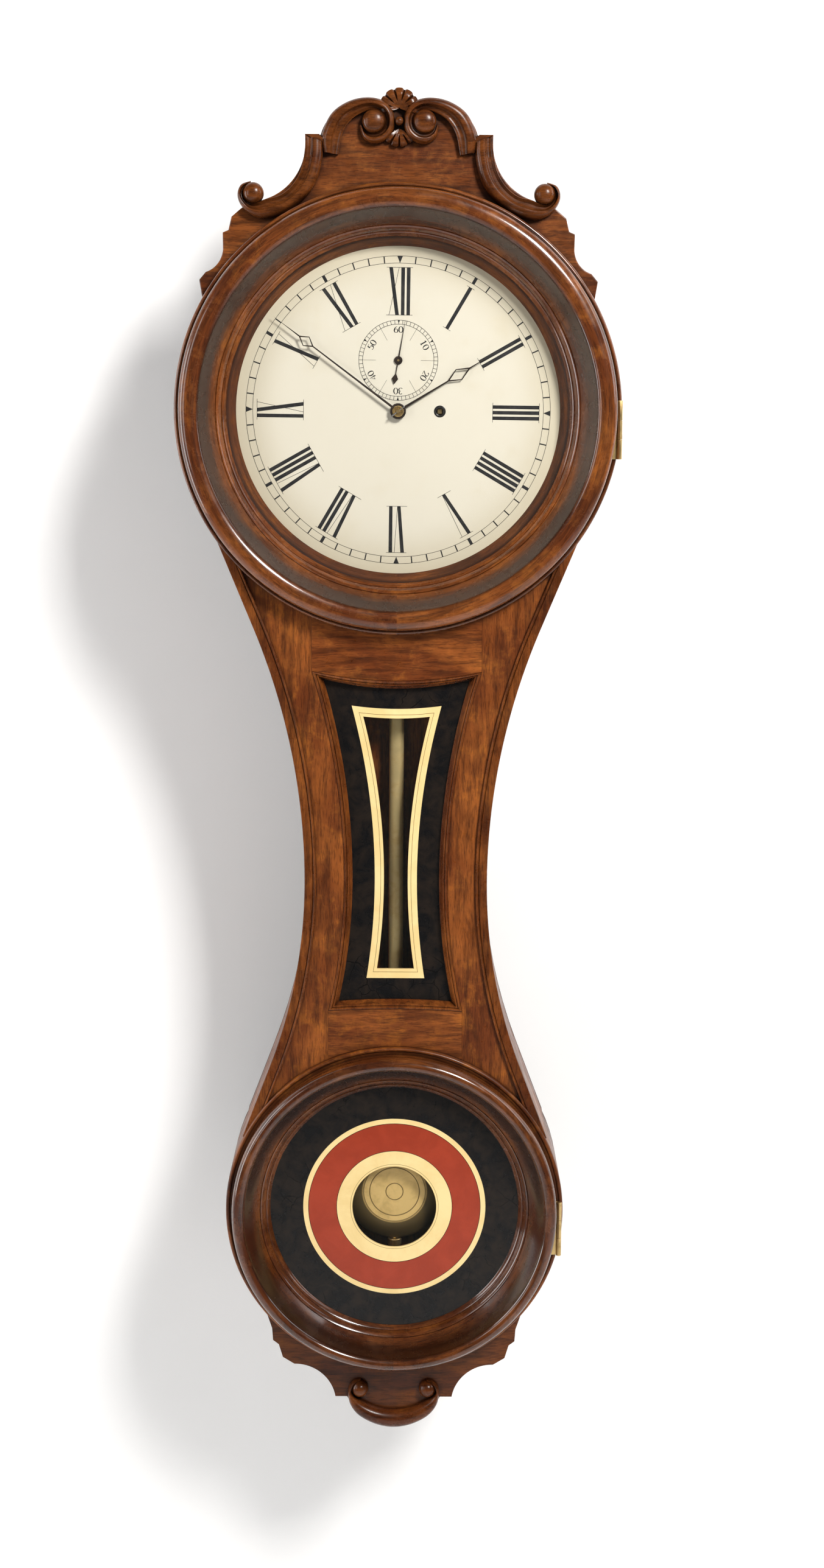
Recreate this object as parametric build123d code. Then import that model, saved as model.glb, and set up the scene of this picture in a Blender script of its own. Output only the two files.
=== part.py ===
from build123d import *
from math import asin, atan2, cos, pi, sin, sqrt
import os

# Figure eight wall regulator: a weight driven clock in a carved wooden case.
# Millimetres. Origin: centre of the hands, on the wall plane. +X right, +Z up, front towards -Y.
# Depths are written as Y values, so the front of the clock has the most negative Y.

# Flat sides that stand in for a circle on small turned parts
SMALL_SIDES = 8
ROUND_SIDES = 16

# Dial and its furniture
DIAL_DIAMETER = 355.6
DIAL_THICKNESS = 2.0
DIAL_FRONT = -88.2
DIAL_SIGHT_RADIUS = 173.0
DIAL_HOLE_PLAY = 0.8
SECONDS_HEIGHT = 53.6
WINDING_OFFSET = 44.6
BUTTON_HALF = 6.0
BUTTON_REACH = 14.0
BUTTON_GRIP = 8.0
BUTTON_THICKNESS = 1.6

# Case: two round compartments joined by a waisted throat
UPPER_RADIUS = 236.5
LOWER_RADIUS = 187.0
LOWER_DROP = 878.0
HOOP_WALL = 12.0
WAIST_HALF = 99.2
WAIST_DROP = 505.0
UPPER_SWEEP_RADIUS = 720.0
UPPER_SWEEP_END = 230.0
LOWER_SWEEP_RADIUS = 585.0
LOWER_SWEEP_END = 713.0
FOOT_ANGLE = 0.1
THROAT_TOP = 60.0
BACKBOARD_THICKNESS = 14.0
CASE_DEPTH = 104.0
PASSAGE_HALF = 84.0

# Front of the throat
PANEL_THICKNESS = 14.0
STRIP_WIDTH = 12.6
STRIP_PROUD = 3.0
STRIP_BEAD_WIDTH = 3.0
STRIP_BEAD_PROUD = 1.5
BEADING_INSET = 43.0
BEADING_WIDTH = 9.0
BEADING_PROUD = 1.6
OPENING_TOP = 276.6
OPENING_TOP_SAG = 10.0
OPENING_BOTTOM = 651.0
OPENING_BOTTOM_RISE = 2.5
TABLET_THICKNESS = 2.8
TABLET_PLAY = 0.3
TABLET_SINK = 1.0

# Front rings and hinged bezels
RING_THICKNESS = 20.0
FLANGE_CLEARANCE = 1.5
DOOR_GAP = 0.3
UPPER_BEZEL_RADIUS = 230.5
UPPER_CREASE_RADIUS = 210.0
UPPER_LEDGE_RADIUS = 193.0
UPPER_SIGHT_RADIUS = 182.0
LOWER_BEZEL_RADIUS = 179.4
LOWER_CREASE_RADIUS = 166.0
LOWER_LEDGE_RADIUS = 149.2
LOWER_SIGHT_RADIUS = 138.2
TORUS_SHOULDER = 14.0
TORUS_HEIGHT = 23.0
TORUS_FLATS = 5
CREASE_HEIGHT = 19.5
LEDGE_DEPTH = 24.6
GLASS_SINK = 11.0
GLASS_THICKNESS = 2.4
GLASS_REBATE = 4.0
GLASS_PLAY = 0.4
FLANGE_WIDTH = 6.0
FLANGE_DEPTH = 3.0
POINT_SIZE = 3.0
POINT_THICKNESS = 1.2
POINT_COUNT = 6

# Hinges
HINGE_LENGTH = 61.3
HINGE_RADIUS = 2.8
HINGE_PIN_RADIUS = 1.3
HINGE_OFFSET = 3.3
HINGE_LEAF_WIDTH = 16.0
HINGE_LEAF_THICKNESS = 1.2
HINGE_WEB = 2.0
HINGE_CENTRE_DROP = 18.0
HINGE_AXIS_LIFT = HINGE_RADIUS + 0.4
PIVOT_CLEARANCE = 0.05
KNUCKLE_GAP = 0.3

# Carved boards above and below
CREST_THICKNESS = 20.0
CREST_BACK = 86.0
RELIEF = 13.0
CREST_TOP = 333.5
FAN_RADIUS = 21.5
SHELL_RADIUS = 14.5
BOSS_HEIGHT = 298.4
BOSS_RADIUS = 4.3
VOLUTE = (27.0, 295.5)
VOLUTE_RADIUS = 20.5
EYE_RADIUS = 5.0
EYE_PROUD = 2.0
ROLL = (154.6, 222.0)
ROLL_RADIUS = 16.2
BASE_BOTTOM = 1137.5
BASE_ROLL = (39.0, -1090.0)
BASE_ROLL_RADIUS = 9.5

# Pendulum
SWING_AXIS_HEIGHT = 108.6
BOB_DROP = 867.0
BOB_RADIUS = 57.5
BOB_FLAT_RADIUS = 36.0
BOB_THICKNESS = 28.0
BOB_RIM_THICKNESS = 6.0
ROD_WIDTH = 16.0
ROD_DEPTH = 9.0
ROD_SEAT = 12.0
PENDULUM_PLANE = 74.5
LOOP_DEPTH = 7.0
LOOP_BAR = 8.0
LOOP_TOP = 96.0
LOOP_BOTTOM = 38.0
LOOP_TOP_HALF = 30.0
LOOP_BOTTOM_HALF = 21.0
LOOP_HEAD_HALF = 6.0
NUT_RADIUS = 8.0
NUT_HEIGHT = 8.0
SCREW_RADIUS = 2.5
SCREW_TAIL = 6.0
SLOT_PLAY = 0.15
SPRING_THICKNESS = 0.4
CRUTCH_PIN_Z = 92.0
CRUTCH_PIN_RADIUS = 1.2
CRUTCH_FRONT = -66.0
CRUTCH_THICKNESS = 2.0
CRUTCH_HUB = 4.0

# Movement
BACK_PLATE_BACK = 24.0
FRONT_PLATE_BACK = 58.0
PLATE_THICKNESS = 3.0
END_SHAKE = 0.3
PILLAR_RADIUS = 3.5
GREAT_TEETH = 80
CENTRE_TEETH = 64
THIRD_TEETH = 60
LEAVES = 8
CENTRE_MODULE = 0.9
THIRD_MODULE = 0.9
ESCAPE_TEETH = 30
ESCAPE_RADIUS = 27.0
ESCAPE_TOOTH = 4.5
CANNON_LEAVES = 12
MINUTE_WHEEL_TEETH = 36
MINUTE_PINION_LEAVES = 10
HOUR_TEETH = 40
MOTION_DISTANCE = 18.0
RATCHET_TEETH = 20
RATCHET_RADIUS = 11.5
RATCHET_TOOTH = 1.8
WHEEL_ROOT = 1.3
WHEEL_TIP = 0.95
PINION_ROOT = 1.25
PINION_TIP = 0.75
PINION_FOOT = 0.34
PINION_TOP = 0.14
WHEEL_RIM = 2.6
WHEEL_HUB = 3.0
WHEEL_ARM = 3.0
GREAT_BACK = -49.0
CENTRE_WHEEL_BACK = -54.5
THIRD_WHEEL_BACK = -38.0
ESCAPE_BACK = -45.0
CANNON_BACK = -62.0
HOUR_BACK = -66.0
STUD_RADIUS = 1.5
STUD_END = -69.4
CENTRE_ARBOR_FRONT = 2.0
CANNON_BORE = 2.02
CANNON_PIPE_RADIUS = 3.2
HOUR_BORE = 3.27
HOUR_PIPE_RADIUS = 4.4
SECONDS_ARBOR_RADIUS = 1.2
SEAT_PLAY = 0.02

# Weight and its line
DRUM_RADIUS = 14.0
DRUM_FLANGE_RADIUS = 17.0
DRUM_FLANGE = 1.5
DRUM_ARBOR_RADIUS = 4.0
DRUM_BACK = -28.5
DRUM_FRONT = -46.5
DRUM_PIVOT = 3.4
CLICK_STUD_RADIUS = 1.4
CLICK_STUD_REACH = 17.5
CLICK_ROOM = 2.2
CLICK_LAG = -0.75
CLICK_EYE = 1.6
LINE_RADIUS = 0.9
LINE_GAP = 0.3
LINE_SIDES = 6
LINE_POST_Z = -48.0
LINE_POST_RADIUS = 2.5
LINE_DEPTH = 35.0
PULLEY_RADIUS = 15.0
PULLEY_WIDTH = 6.0
PULLEY_FLANGE = 1.5
PULLEY_PIN_RADIUS = 2.0
PULLEY_DROP = 290.0
STIRRUP_HALF = 4.0
STIRRUP_THICKNESS = 1.6
WEIGHT_WIDTH = 68.0
WEIGHT_THICKNESS = 26.0
WEIGHT_HEIGHT = 200.0
WEIGHT_CHAMFER = 3.0
BAFFLE_BACK = 52.0
BAFFLE_THICKNESS = 3.0
BAFFLE_HALF = 60.0
BAFFLE_TOP = 82.0
BAFFLE_BOTTOM = 1040.0
CLEAT_WIDTH = 8.0

# Hands
HOUR_HAND_LENGTH = 121.0
MINUTE_HAND_LENGTH = 166.0
SECONDS_HAND_LENGTH = 43.5
HOUR_HUB = 8.6
MINUTE_HUB = 8.4
SECONDS_HUB = 4.5
HOUR_ANGLE = 58.9
MINUTE_ANGLE = -53.3
SECONDS_ANGLE = 10.2
HAND_THICKNESS = 1.2
SECONDS_HAND_THICKNESS = 0.7
SECONDS_HAND_BACK = -89.0
HOUR_HAND_BACK = -91.0
MINUTE_HAND_BACK = -93.6
COLLET_RADIUS = 5.9
COLLET_THICKNESS = 1.6
TAPER_PIN_RADIUS = 0.9
TAPER_PIN_LENGTH = 18.0
TAPER_PIN_ANGLE = 53.0
GROMMET_RADIUS = 5.4
GROMMET_WALL = 1.5
GROMMET_LIP = 0.5
WINDING_SQUARE = 4.6
WINDING_END = -85.0

# Wall fixing
HANGING_HOLE = 11.0
HANGING_HEIGHT = 196.0
HANGER_THICKNESS = 3.0
HANGER_HALF_WIDTH = 22.0
HANGER_HALF_HEIGHT = 16.0
HANGER_POCKET = 10.0
HANGER_POCKET_HALF = 12.0
SECURING_HOLE = 5.0
SECURING_HALF = 72.0
SECURING_DROP = 985.0

# Worked out places
CASE_FRONT = -CASE_DEPTH
PANEL_FRONT = CASE_FRONT - PANEL_THICKNESS
RING_FRONT = CASE_FRONT - RING_THICKNESS
DOOR_BACK = RING_FRONT - DOOR_GAP
CREASE_Y = DOOR_BACK - CREASE_HEIGHT
LEDGE_Y = CREASE_Y + LEDGE_DEPTH
GLASS_FRONT = LEDGE_Y + GLASS_SINK
GLASS_BACK = GLASS_FRONT + GLASS_THICKNESS
FLANGE_BACK = GLASS_BACK + FLANGE_DEPTH
SIGHT_FRONT = FLANGE_BACK + 2 * DOOR_GAP
DIAL_BACK = DIAL_FRONT + DIAL_THICKNESS
TABLET_BACK = CASE_FRONT - TABLET_SINK
CREST_FRONT = -CREST_BACK - CREST_THICKNESS
LOOP_Y = -PENDULUM_PLANE
ROD_FOOT = -BOB_DROP - BOB_RADIUS + ROD_SEAT
NUT_TOP = -BOB_DROP - BOB_RADIUS - 1.0
FRONT_PLATE_FRONT = -FRONT_PLATE_BACK - PLATE_THICKNESS
BACK_PLATE_FRONT = -BACK_PLATE_BACK - PLATE_THICKNESS
INNER_BACK = BACK_PLATE_FRONT - END_SHAKE
INNER_FRONT = -FRONT_PLATE_BACK + END_SHAKE
CENTRE = (0, 0)
LOWER = (0, -LOWER_DROP)
SECONDS = (0, SECONDS_HEIGHT)
DRUM = (WINDING_OFFSET, 0)
VERGE = (0, SWING_AXIS_HEIGHT)
GREAT_MODULE = 2 * WINDING_OFFSET / (GREAT_TEETH + LEAVES)
CENTRE_TO_THIRD = CENTRE_MODULE * (CENTRE_TEETH + LEAVES) / 2
THIRD_TO_SECONDS = THIRD_MODULE * (THIRD_TEETH + LEAVES) / 2
THIRD_Z = (CENTRE_TO_THIRD**2 - THIRD_TO_SECONDS**2 + SECONDS_HEIGHT**2) / (2 * SECONDS_HEIGHT)
THIRD = (-sqrt(CENTRE_TO_THIRD**2 - THIRD_Z**2), THIRD_Z)
STUD = (-MOTION_DISTANCE * cos(pi / 4), -MOTION_DISTANCE * sin(pi / 4))
CLICK_STUD = (DRUM[0], DRUM[1] + CLICK_STUD_REACH)
CANNON_MODULE = 2 * MOTION_DISTANCE / (CANNON_LEAVES + MINUTE_WHEEL_TEETH)
HOUR_MODULE = 2 * MOTION_DISTANCE / (MINUTE_PINION_LEAVES + HOUR_TEETH)
CANNON_END = MINUTE_HAND_BACK - HAND_THICKNESS
COLLET_FRONT = CANNON_END - COLLET_THICKNESS
TAPER_PIN_Y = COLLET_FRONT - TAPER_PIN_RADIUS
CENTRE_END = TAPER_PIN_Y - 2 * TAPER_PIN_RADIUS
SECONDS_END = SECONDS_HAND_BACK - SECONDS_HAND_THICKNESS - 0.3
FALL_X = WINDING_OFFSET - DRUM_RADIUS - LINE_RADIUS - LINE_GAP
WEIGHT_X = FALL_X - PULLEY_RADIUS
LINE_POST = (WEIGHT_X - PULLEY_RADIUS, LINE_POST_Z)


def save(name, shape):
    """Write one sub-part."""
    export_step(shape, f"parts/{name}.step")


def slab(sketch, back, front):
    """A front view sketch made solid between two depths."""
    plane = Plane(origin=(0, back, 0), x_dir=(1, 0, 0), z_dir=(0, -1, 0))
    return extrude(plane * sketch, amount=back - front, dir=(0, -1, 0))


def face_of(*edges):
    """A face from a closed run of lines and arcs."""
    return make_face(Curve() + list(edges))


def outline_of(*corners):
    """A face from its corners, which may run either way round."""
    face = Polygon(*corners, align=None)
    return face if face.face().normal_at().Z > 0 else Polygon(*corners[::-1], align=None)


def turned(place, profile):
    """A profile of (radius, depth), turned about an axis that runs front to back."""
    x, z = place
    plane = Plane(origin=(x, 0, z), x_dir=(1, 0, 0), z_dir=(0, 0, 1))
    return revolve(plane * profile, Axis((x, 0, z), (0, 1, 0)), 360)


def ring(place, inner, outer, back, front):
    """A plain wide ring."""
    return slab(Pos(*place) * (Circle(outer) - Circle(inner)), back, front)


def hole(place, radius, sides=SMALL_SIDES):
    """Outline of a small hole that clears a shaft of this radius."""
    return Pos(*place) * RegularPolygon(radius, sides, major_radius=False)


def pin(place, radius, back, front, sides=SMALL_SIDES):
    """A small shaft that runs front to back."""
    return slab(Pos(*place) * RegularPolygon(radius, sides), back, front)


def pipe(place, bore, radius, back, front, sides=SMALL_SIDES):
    """A small tube that runs front to back."""
    return slab(Pos(*place) * RegularPolygon(radius, sides) - hole(place, bore, sides), back, front)


def upright(radius, y, low, high, sides=SMALL_SIDES, x=0.0):
    """A small vertical rod."""
    return Pos(x, y, low) * extrude(RegularPolygon(radius, sides), amount=high - low)


def block(x0, x1, y0, y1, z0, z1):
    """A box from its limits."""
    size = (abs(x1 - x0), abs(y1 - y0), abs(z1 - z0))
    return Pos((x0 + x1) / 2, (y0 + y1) / 2, (z0 + z1) / 2) * Box(*size)


def mirrored(shape):
    """The same shape on the other side of the clock."""
    return mirror(shape, about=Plane.YZ)


def pair(shape):
    """A shape and its mirror image, as two solids."""
    return Compound([shape, mirrored(shape)])


def around(shape, place, angle):
    """The shape turned clockwise, seen from the front, about a place on the dial."""
    return shape.rotate(Axis((place[0], 0, place[1]), (0, 1, 0)), angle)


def sweep_point(inset, upper):
    """Where a throat side curve ends, and how far its tangent leans from upright there."""
    radius = UPPER_SWEEP_RADIUS if upper else LOWER_SWEEP_RADIUS
    reach = WAIST_DROP - UPPER_SWEEP_END if upper else LOWER_SWEEP_END - WAIST_DROP
    lean = asin(reach / radius)
    x = WAIST_HALF + radius - (radius + inset) * cos(lean)
    rise = (radius + inset) * sin(lean)
    return x, rise - WAIST_DROP if upper else -rise - WAIST_DROP, lean


def throat_half(drop, inset):
    """Half width of the throat at a height below the hands, inside its outline by inset."""
    upper = drop < WAIST_DROP
    radius = UPPER_SWEEP_RADIUS if upper else LOWER_SWEEP_RADIUS
    x, z, lean = sweep_point(inset, upper)
    if abs(drop - WAIST_DROP) > abs(z + WAIST_DROP):
        return x + abs(drop + z) * sin(lean) / cos(lean)
    return WAIST_HALF + radius - sqrt((radius + inset) ** 2 - (drop - WAIST_DROP) ** 2)


THROAT_FOOT = LOWER_DROP - LOWER_RADIUS * sin(sweep_point(0, False)[2] + FOOT_ANGLE)


def throat(inset, top=THROAT_TOP, bottom=THROAT_FOOT):
    """The waisted outline of the throat, drawn in from its edge by inset."""
    ux, uz, _ = sweep_point(inset, True)
    lx, lz, _ = sweep_point(inset, False)
    upper_middle = (throat_half((WAIST_DROP - uz) / 2, inset), (uz - WAIST_DROP) / 2)
    lower_middle = (throat_half((WAIST_DROP - lz) / 2, inset), (lz - WAIST_DROP) / 2)
    waist = (WAIST_HALF - inset, -WAIST_DROP)
    high = (throat_half(top, inset), -top)
    low = (throat_half(bottom, inset), -bottom)
    if -top > uz:
        above = [Line(high, (ux, uz)), ThreePointArc((ux, uz), upper_middle, waist)]
    else:
        half_way = (top + WAIST_DROP) / 2
        above = [ThreePointArc(high, (throat_half(half_way, inset), -half_way), waist)]
    if -bottom < lz:
        below = [ThreePointArc(waist, lower_middle, (lx, lz)), Line((lx, lz), low)]
    else:
        half_way = (bottom + WAIST_DROP) / 2
        below = [ThreePointArc(waist, (throat_half(half_way, inset), -half_way), low)]
    left = [mirror(edge, about=Plane.YZ) for edge in above + below]
    across = [Line((-high[0], high[1]), high), Line((-low[0], low[1]), low)]
    return face_of(*above, *below, *left, *across)


UPPER_DISC = Circle(UPPER_RADIUS)
LOWER_DISC = Pos(*LOWER) * Circle(LOWER_RADIUS)


def throat_band(outer_inset, inner_inset):
    """Right hand strip of the throat between two insets, clear of both round compartments."""
    side = Pos(UPPER_RADIUS, -WAIST_DROP) * Rectangle(2 * UPPER_RADIUS, 2 * LOWER_DROP)
    return (throat(outer_inset) & side) - throat(inner_inset) - UPPER_DISC - LOWER_DISC


def backboard():
    """One board behind the whole case, with the hanger pocket and two securing holes."""
    outline = UPPER_DISC + throat(0) + LOWER_DISC
    for side in (-1, 1):
        outline -= Pos(side * SECURING_HALF, -SECURING_DROP) * Circle(SECURING_HOLE / 2)
    pocket = Pos(0, HANGING_HEIGHT) * Rectangle(2 * HANGER_POCKET_HALF, 2 * HANGER_POCKET_HALF)
    return slab(outline, 0, -BACKBOARD_THICKNESS) - hanger_blank() - slab(pocket, 0, -HANGER_POCKET)


def hanger_blank():
    """The steel plate before its hole is drilled."""
    outline = Pos(0, HANGING_HEIGHT) * Rectangle(2 * HANGER_HALF_WIDTH, 2 * HANGER_HALF_HEIGHT)
    return slab(outline, 0, -HANGER_THICKNESS)


def hanger_plate():
    """Steel plate let into the back of the board, with the hole that hangs on the wall hook."""
    return hanger_blank() - slab(Pos(0, HANGING_HEIGHT) * Circle(HANGING_HOLE / 2), 0, -HANGER_THICKNESS)


def upper_hoop():
    """Round rim of the dial compartment, open below into the throat."""
    rim = ring(CENTRE, UPPER_RADIUS - HOOP_WALL, UPPER_RADIUS, -BACKBOARD_THICKNESS, CASE_FRONT)
    return rim - block(-PASSAGE_HALF, PASSAGE_HALF, 0, CASE_FRONT, -UPPER_RADIUS, 0)


def lower_hoop():
    """Round rim of the pendulum compartment, open above into the throat."""
    rim = ring(LOWER, LOWER_RADIUS - HOOP_WALL, LOWER_RADIUS, -BACKBOARD_THICKNESS, CASE_FRONT)
    return rim - block(-PASSAGE_HALF, PASSAGE_HALF, 0, CASE_FRONT, -LOWER_DROP, -LOWER_DROP + LOWER_RADIUS)


def hinge_leaf_block(place, bezel_radius, back, front):
    """The space of one hinge leaf, from the axis of the hinge inwards."""
    outer = bezel_radius + HINGE_OFFSET
    middle = place[1] - HINGE_CENTRE_DROP
    half = HINGE_LENGTH / 2
    return block(outer - HINGE_LEAF_WIDTH, outer, back, front, middle - half, middle + half)


def front_ring(place, radius, bezel_radius, ledge_radius):
    """Flat ring on the front of a hoop, with a seat for the hinge leaf."""
    bore = ledge_radius + FLANGE_WIDTH + FLANGE_CLEARANCE
    leaf = hinge_leaf_block(place, bezel_radius, RING_FRONT + HINGE_LEAF_THICKNESS, RING_FRONT)
    return ring(place, bore, radius, CASE_FRONT, RING_FRONT) - leaf


def throat_sides():
    """Pair of curved side walls between the two round compartments."""
    return pair(slab(throat_band(0, HOOP_WALL), -BACKBOARD_THICKNESS, CASE_FRONT))


def side_mouldings():
    """Raised strips along the edges of the throat front, with a bead on the inner edge."""
    front = PANEL_FRONT - STRIP_PROUD
    strip = slab(throat_band(0, STRIP_WIDTH), CASE_FRONT, front)
    bead = slab(throat_band(STRIP_WIDTH - STRIP_BEAD_WIDTH, STRIP_WIDTH), front, front - STRIP_BEAD_PROUD)
    return pair(strip + bead)


def window_parts(inset, grow=0.0):
    """The band of the throat window and the two circles that curve its head and foot."""
    top = OPENING_TOP + grow
    bottom = OPENING_BOTTOM - grow
    half_top = throat_half(top, inset)
    half_bottom = throat_half(bottom, inset)
    head_radius = (half_top**2 + OPENING_TOP_SAG**2) / (2 * OPENING_TOP_SAG)
    foot_radius = (half_bottom**2 + OPENING_BOTTOM_RISE**2) / (2 * OPENING_BOTTOM_RISE)
    band = throat(inset, top, bottom)
    head = Pos(0, -top - OPENING_TOP_SAG + head_radius) * Circle(head_radius)
    foot = Pos(0, -bottom + OPENING_BOTTOM_RISE - foot_radius) * Circle(foot_radius)
    return band, head, foot


def window(inset, grow=0.0):
    """Outline of the throat window, with its sagging head and gently crowned foot."""
    band, head, foot = window_parts(inset, grow)
    return band - head - foot


def throat_front():
    """Two rails and two stiles round the throat window."""
    band, head, foot = window_parts(BEADING_INSET)
    top_half = throat_half(OPENING_TOP, BEADING_INSET)
    bottom_half = throat_half(OPENING_BOTTOM, BEADING_INSET)
    above = Pos(0, -OPENING_TOP / 2) * Rectangle(2 * top_half, OPENING_TOP)
    below_height = LOWER_DROP - OPENING_BOTTOM
    below = Pos(0, -OPENING_BOTTOM - below_height / 2) * Rectangle(2 * bottom_half, below_height)
    top_rail = above + (band & head) - UPPER_DISC
    bottom_rail = below + (band & foot) - LOWER_DISC
    stile = throat_band(STRIP_WIDTH, BEADING_INSET)
    stile += throat_band(BEADING_INSET, UPPER_RADIUS) - band - above - below
    rails = [slab(rail, CASE_FRONT, PANEL_FRONT) for rail in (top_rail, bottom_rail)]
    return *rails, pair(slab(stile, CASE_FRONT, PANEL_FRONT))


def throat_beading():
    """Mitred beading round the throat window, in four lengths."""
    inner_inset = BEADING_INSET + BEADING_WIDTH
    frame = window(BEADING_INSET) - window(inner_inset, BEADING_WIDTH)
    top_outer = throat_half(OPENING_TOP, BEADING_INSET)
    top_inner = throat_half(OPENING_TOP + BEADING_WIDTH, inner_inset)
    foot_outer = throat_half(OPENING_BOTTOM, BEADING_INSET)
    foot_inner = throat_half(OPENING_BOTTOM - BEADING_WIDTH, inner_inset)
    top_corner = -OPENING_TOP - BEADING_WIDTH
    foot_corner = -OPENING_BOTTOM + BEADING_WIDTH
    head_wedge = outline_of(
        (top_outer, -OPENING_TOP),
        (top_inner, top_corner),
        (0, top_corner - 2.5 * OPENING_TOP_SAG),
        (-top_inner, top_corner),
        (-top_outer, -OPENING_TOP),
    )
    foot_wedge = outline_of(
        (foot_outer, -OPENING_BOTTOM),
        (foot_inner, foot_corner),
        (0, foot_corner + 5 * OPENING_BOTTOM_RISE),
        (-foot_inner, foot_corner),
        (-foot_outer, -OPENING_BOTTOM),
    )
    sides = frame - head_wedge - foot_wedge
    front = PANEL_FRONT - BEADING_PROUD
    back = TABLET_BACK - TABLET_THICKNESS
    return Compound([slab(part, back, front) for part in (frame & head_wedge, frame & foot_wedge, sides)])


def throat_glass():
    """Painted glass of the throat, set behind the beading."""
    pane = window(BEADING_INSET + TABLET_PLAY, TABLET_PLAY)
    return slab(pane, TABLET_BACK, TABLET_BACK - TABLET_THICKNESS)


def bezel(place, outer, crease, ledge, sight):
    """Turned wooden door ring: a fat torus in flats, a sloped hollow, a cone to the sight and the rebate."""
    rise = TORUS_HEIGHT - TORUS_SHOULDER
    end = pi - asin((CREASE_HEIGHT - TORUS_SHOULDER) / rise)
    half = (outer - crease) / (1 - cos(end))
    turns = [end * i / TORUS_FLATS for i in range(TORUS_FLATS + 1)]
    top = DOOR_BACK - TORUS_SHOULDER
    crown = [(outer - half + half * cos(turn), top - rise * sin(turn)) for turn in turns]
    rebate = sight + GLASS_REBATE
    flange = ledge + FLANGE_WIDTH
    profile = outline_of(
        (outer, DOOR_BACK),
        *crown,
        (ledge, LEDGE_Y),
        (sight, GLASS_FRONT),
        (rebate, GLASS_FRONT),
        (rebate, FLANGE_BACK),
        (flange, FLANGE_BACK),
        (flange, DOOR_BACK),
    )
    leaf = hinge_leaf_block(place, outer, DOOR_BACK, DOOR_BACK - HINGE_LEAF_THICKNESS)
    return turned(place, profile) - leaf


def door_glass(place, sight):
    """Round glass that lies in the rebate of its bezel."""
    pane = Pos(*place) * Circle(sight + GLASS_REBATE - GLASS_PLAY)
    return slab(pane, GLASS_BACK, GLASS_FRONT)


def glazing_points(place, sight):
    """Small brass points that hold the glass against its rebate."""
    outer = place[0] + sight + GLASS_REBATE
    low = place[1] - POINT_SIZE
    high = place[1] + POINT_SIZE
    point = block(outer - POINT_SIZE, outer - 0.05, GLASS_BACK, GLASS_BACK + POINT_THICKNESS, low, high)
    step = 360 / POINT_COUNT
    return Compound([around(point, place, step * (i + 0.5)) for i in range(POINT_COUNT)])


def hinge(place, bezel_radius):
    """Butt hinge: the case leaf with its outer knuckles and pin, and the door leaf."""
    axis_x = bezel_radius + HINGE_OFFSET
    axis_y = RING_FRONT - HINGE_AXIS_LIFT
    middle = place[1] - HINGE_CENTRE_DROP
    half = HINGE_LENGTH / 2
    third = HINGE_LENGTH / 6
    leaf_back = RING_FRONT + HINGE_LEAF_THICKNESS
    case_leaf = hinge_leaf_block(place, bezel_radius, leaf_back, RING_FRONT)
    case_leaf += upright(HINGE_PIN_RADIUS, axis_y, middle - half, middle + half, x=axis_x)
    for low, high in ((middle - half, middle - third), (middle + third, middle + half)):
        case_leaf += upright(HINGE_RADIUS, axis_y, low, high, x=axis_x)
        case_leaf += block(axis_x - HINGE_WEB, axis_x, axis_y, leaf_back, low, high)
    inner = axis_x - HINGE_LEAF_WIDTH
    edge = axis_x - HINGE_RADIUS - KNUCKLE_GAP
    leaf_front = DOOR_BACK - HINGE_LEAF_THICKNESS
    low = middle - third + KNUCKLE_GAP
    high = middle + third - KNUCKLE_GAP
    door_leaf = block(inner, edge, leaf_front, DOOR_BACK, middle - half, middle + half)
    door_leaf += block(inner, axis_x, leaf_front, DOOR_BACK, low, high)
    door_leaf += upright(HINGE_RADIUS, axis_y, low, high, x=axis_x)
    bore = RegularPolygon(HINGE_PIN_RADIUS + PIVOT_CLEARANCE, SMALL_SIDES, major_radius=False)
    door_leaf -= Pos(axis_x, axis_y, low) * extrude(bore, amount=high - low)
    return case_leaf, door_leaf


def crest_outline():
    """Right half of the carved crest board, from the middle down to the hoop."""
    return face_of(
        Line((0, 200), (0, CREST_TOP - 2)),
        Line((0, CREST_TOP - 2), (FAN_RADIUS - 4, CREST_TOP - 12)),
        Line((FAN_RADIUS - 4, CREST_TOP - 12), (30, 318)),
        ThreePointArc((30, 318), (60, 313), (82, 285)),
        Line((82, 285), (98.4, 285)),
        ThreePointArc((98.4, 285), (109, 242), (134, 221.5)),
        Line((134, 221.5), (165, 210)),
        Line((165, 210), (175.5, 201)),
        Line((175.5, 201), (178.8, 187.3)),
        Line((178.8, 187.3), (184.9, 184.8)),
        Line((184.9, 184.8), (184.6, 168)),
        ThreePointArc((184.6, 168), (191, 152), (203, 144)),
        Line((203, 144), (209.8, 136)),
        Line((209.8, 136), (206.8, 117.5)),
        Line((206.8, 117.5), (0, 117.5)),
        Line((0, 117.5), (0, 200)),
    )


def crest_board():
    """Fretted board above the upper hoop."""
    half = crest_outline()
    return slab(half + mirror(half, about=Plane.YZ) - UPPER_DISC, -CREST_BACK, CREST_FRONT)


def relief(outline):
    """Carving that stands on the front of a fretted board."""
    return slab(outline, CREST_FRONT, CREST_FRONT - RELIEF)


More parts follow.
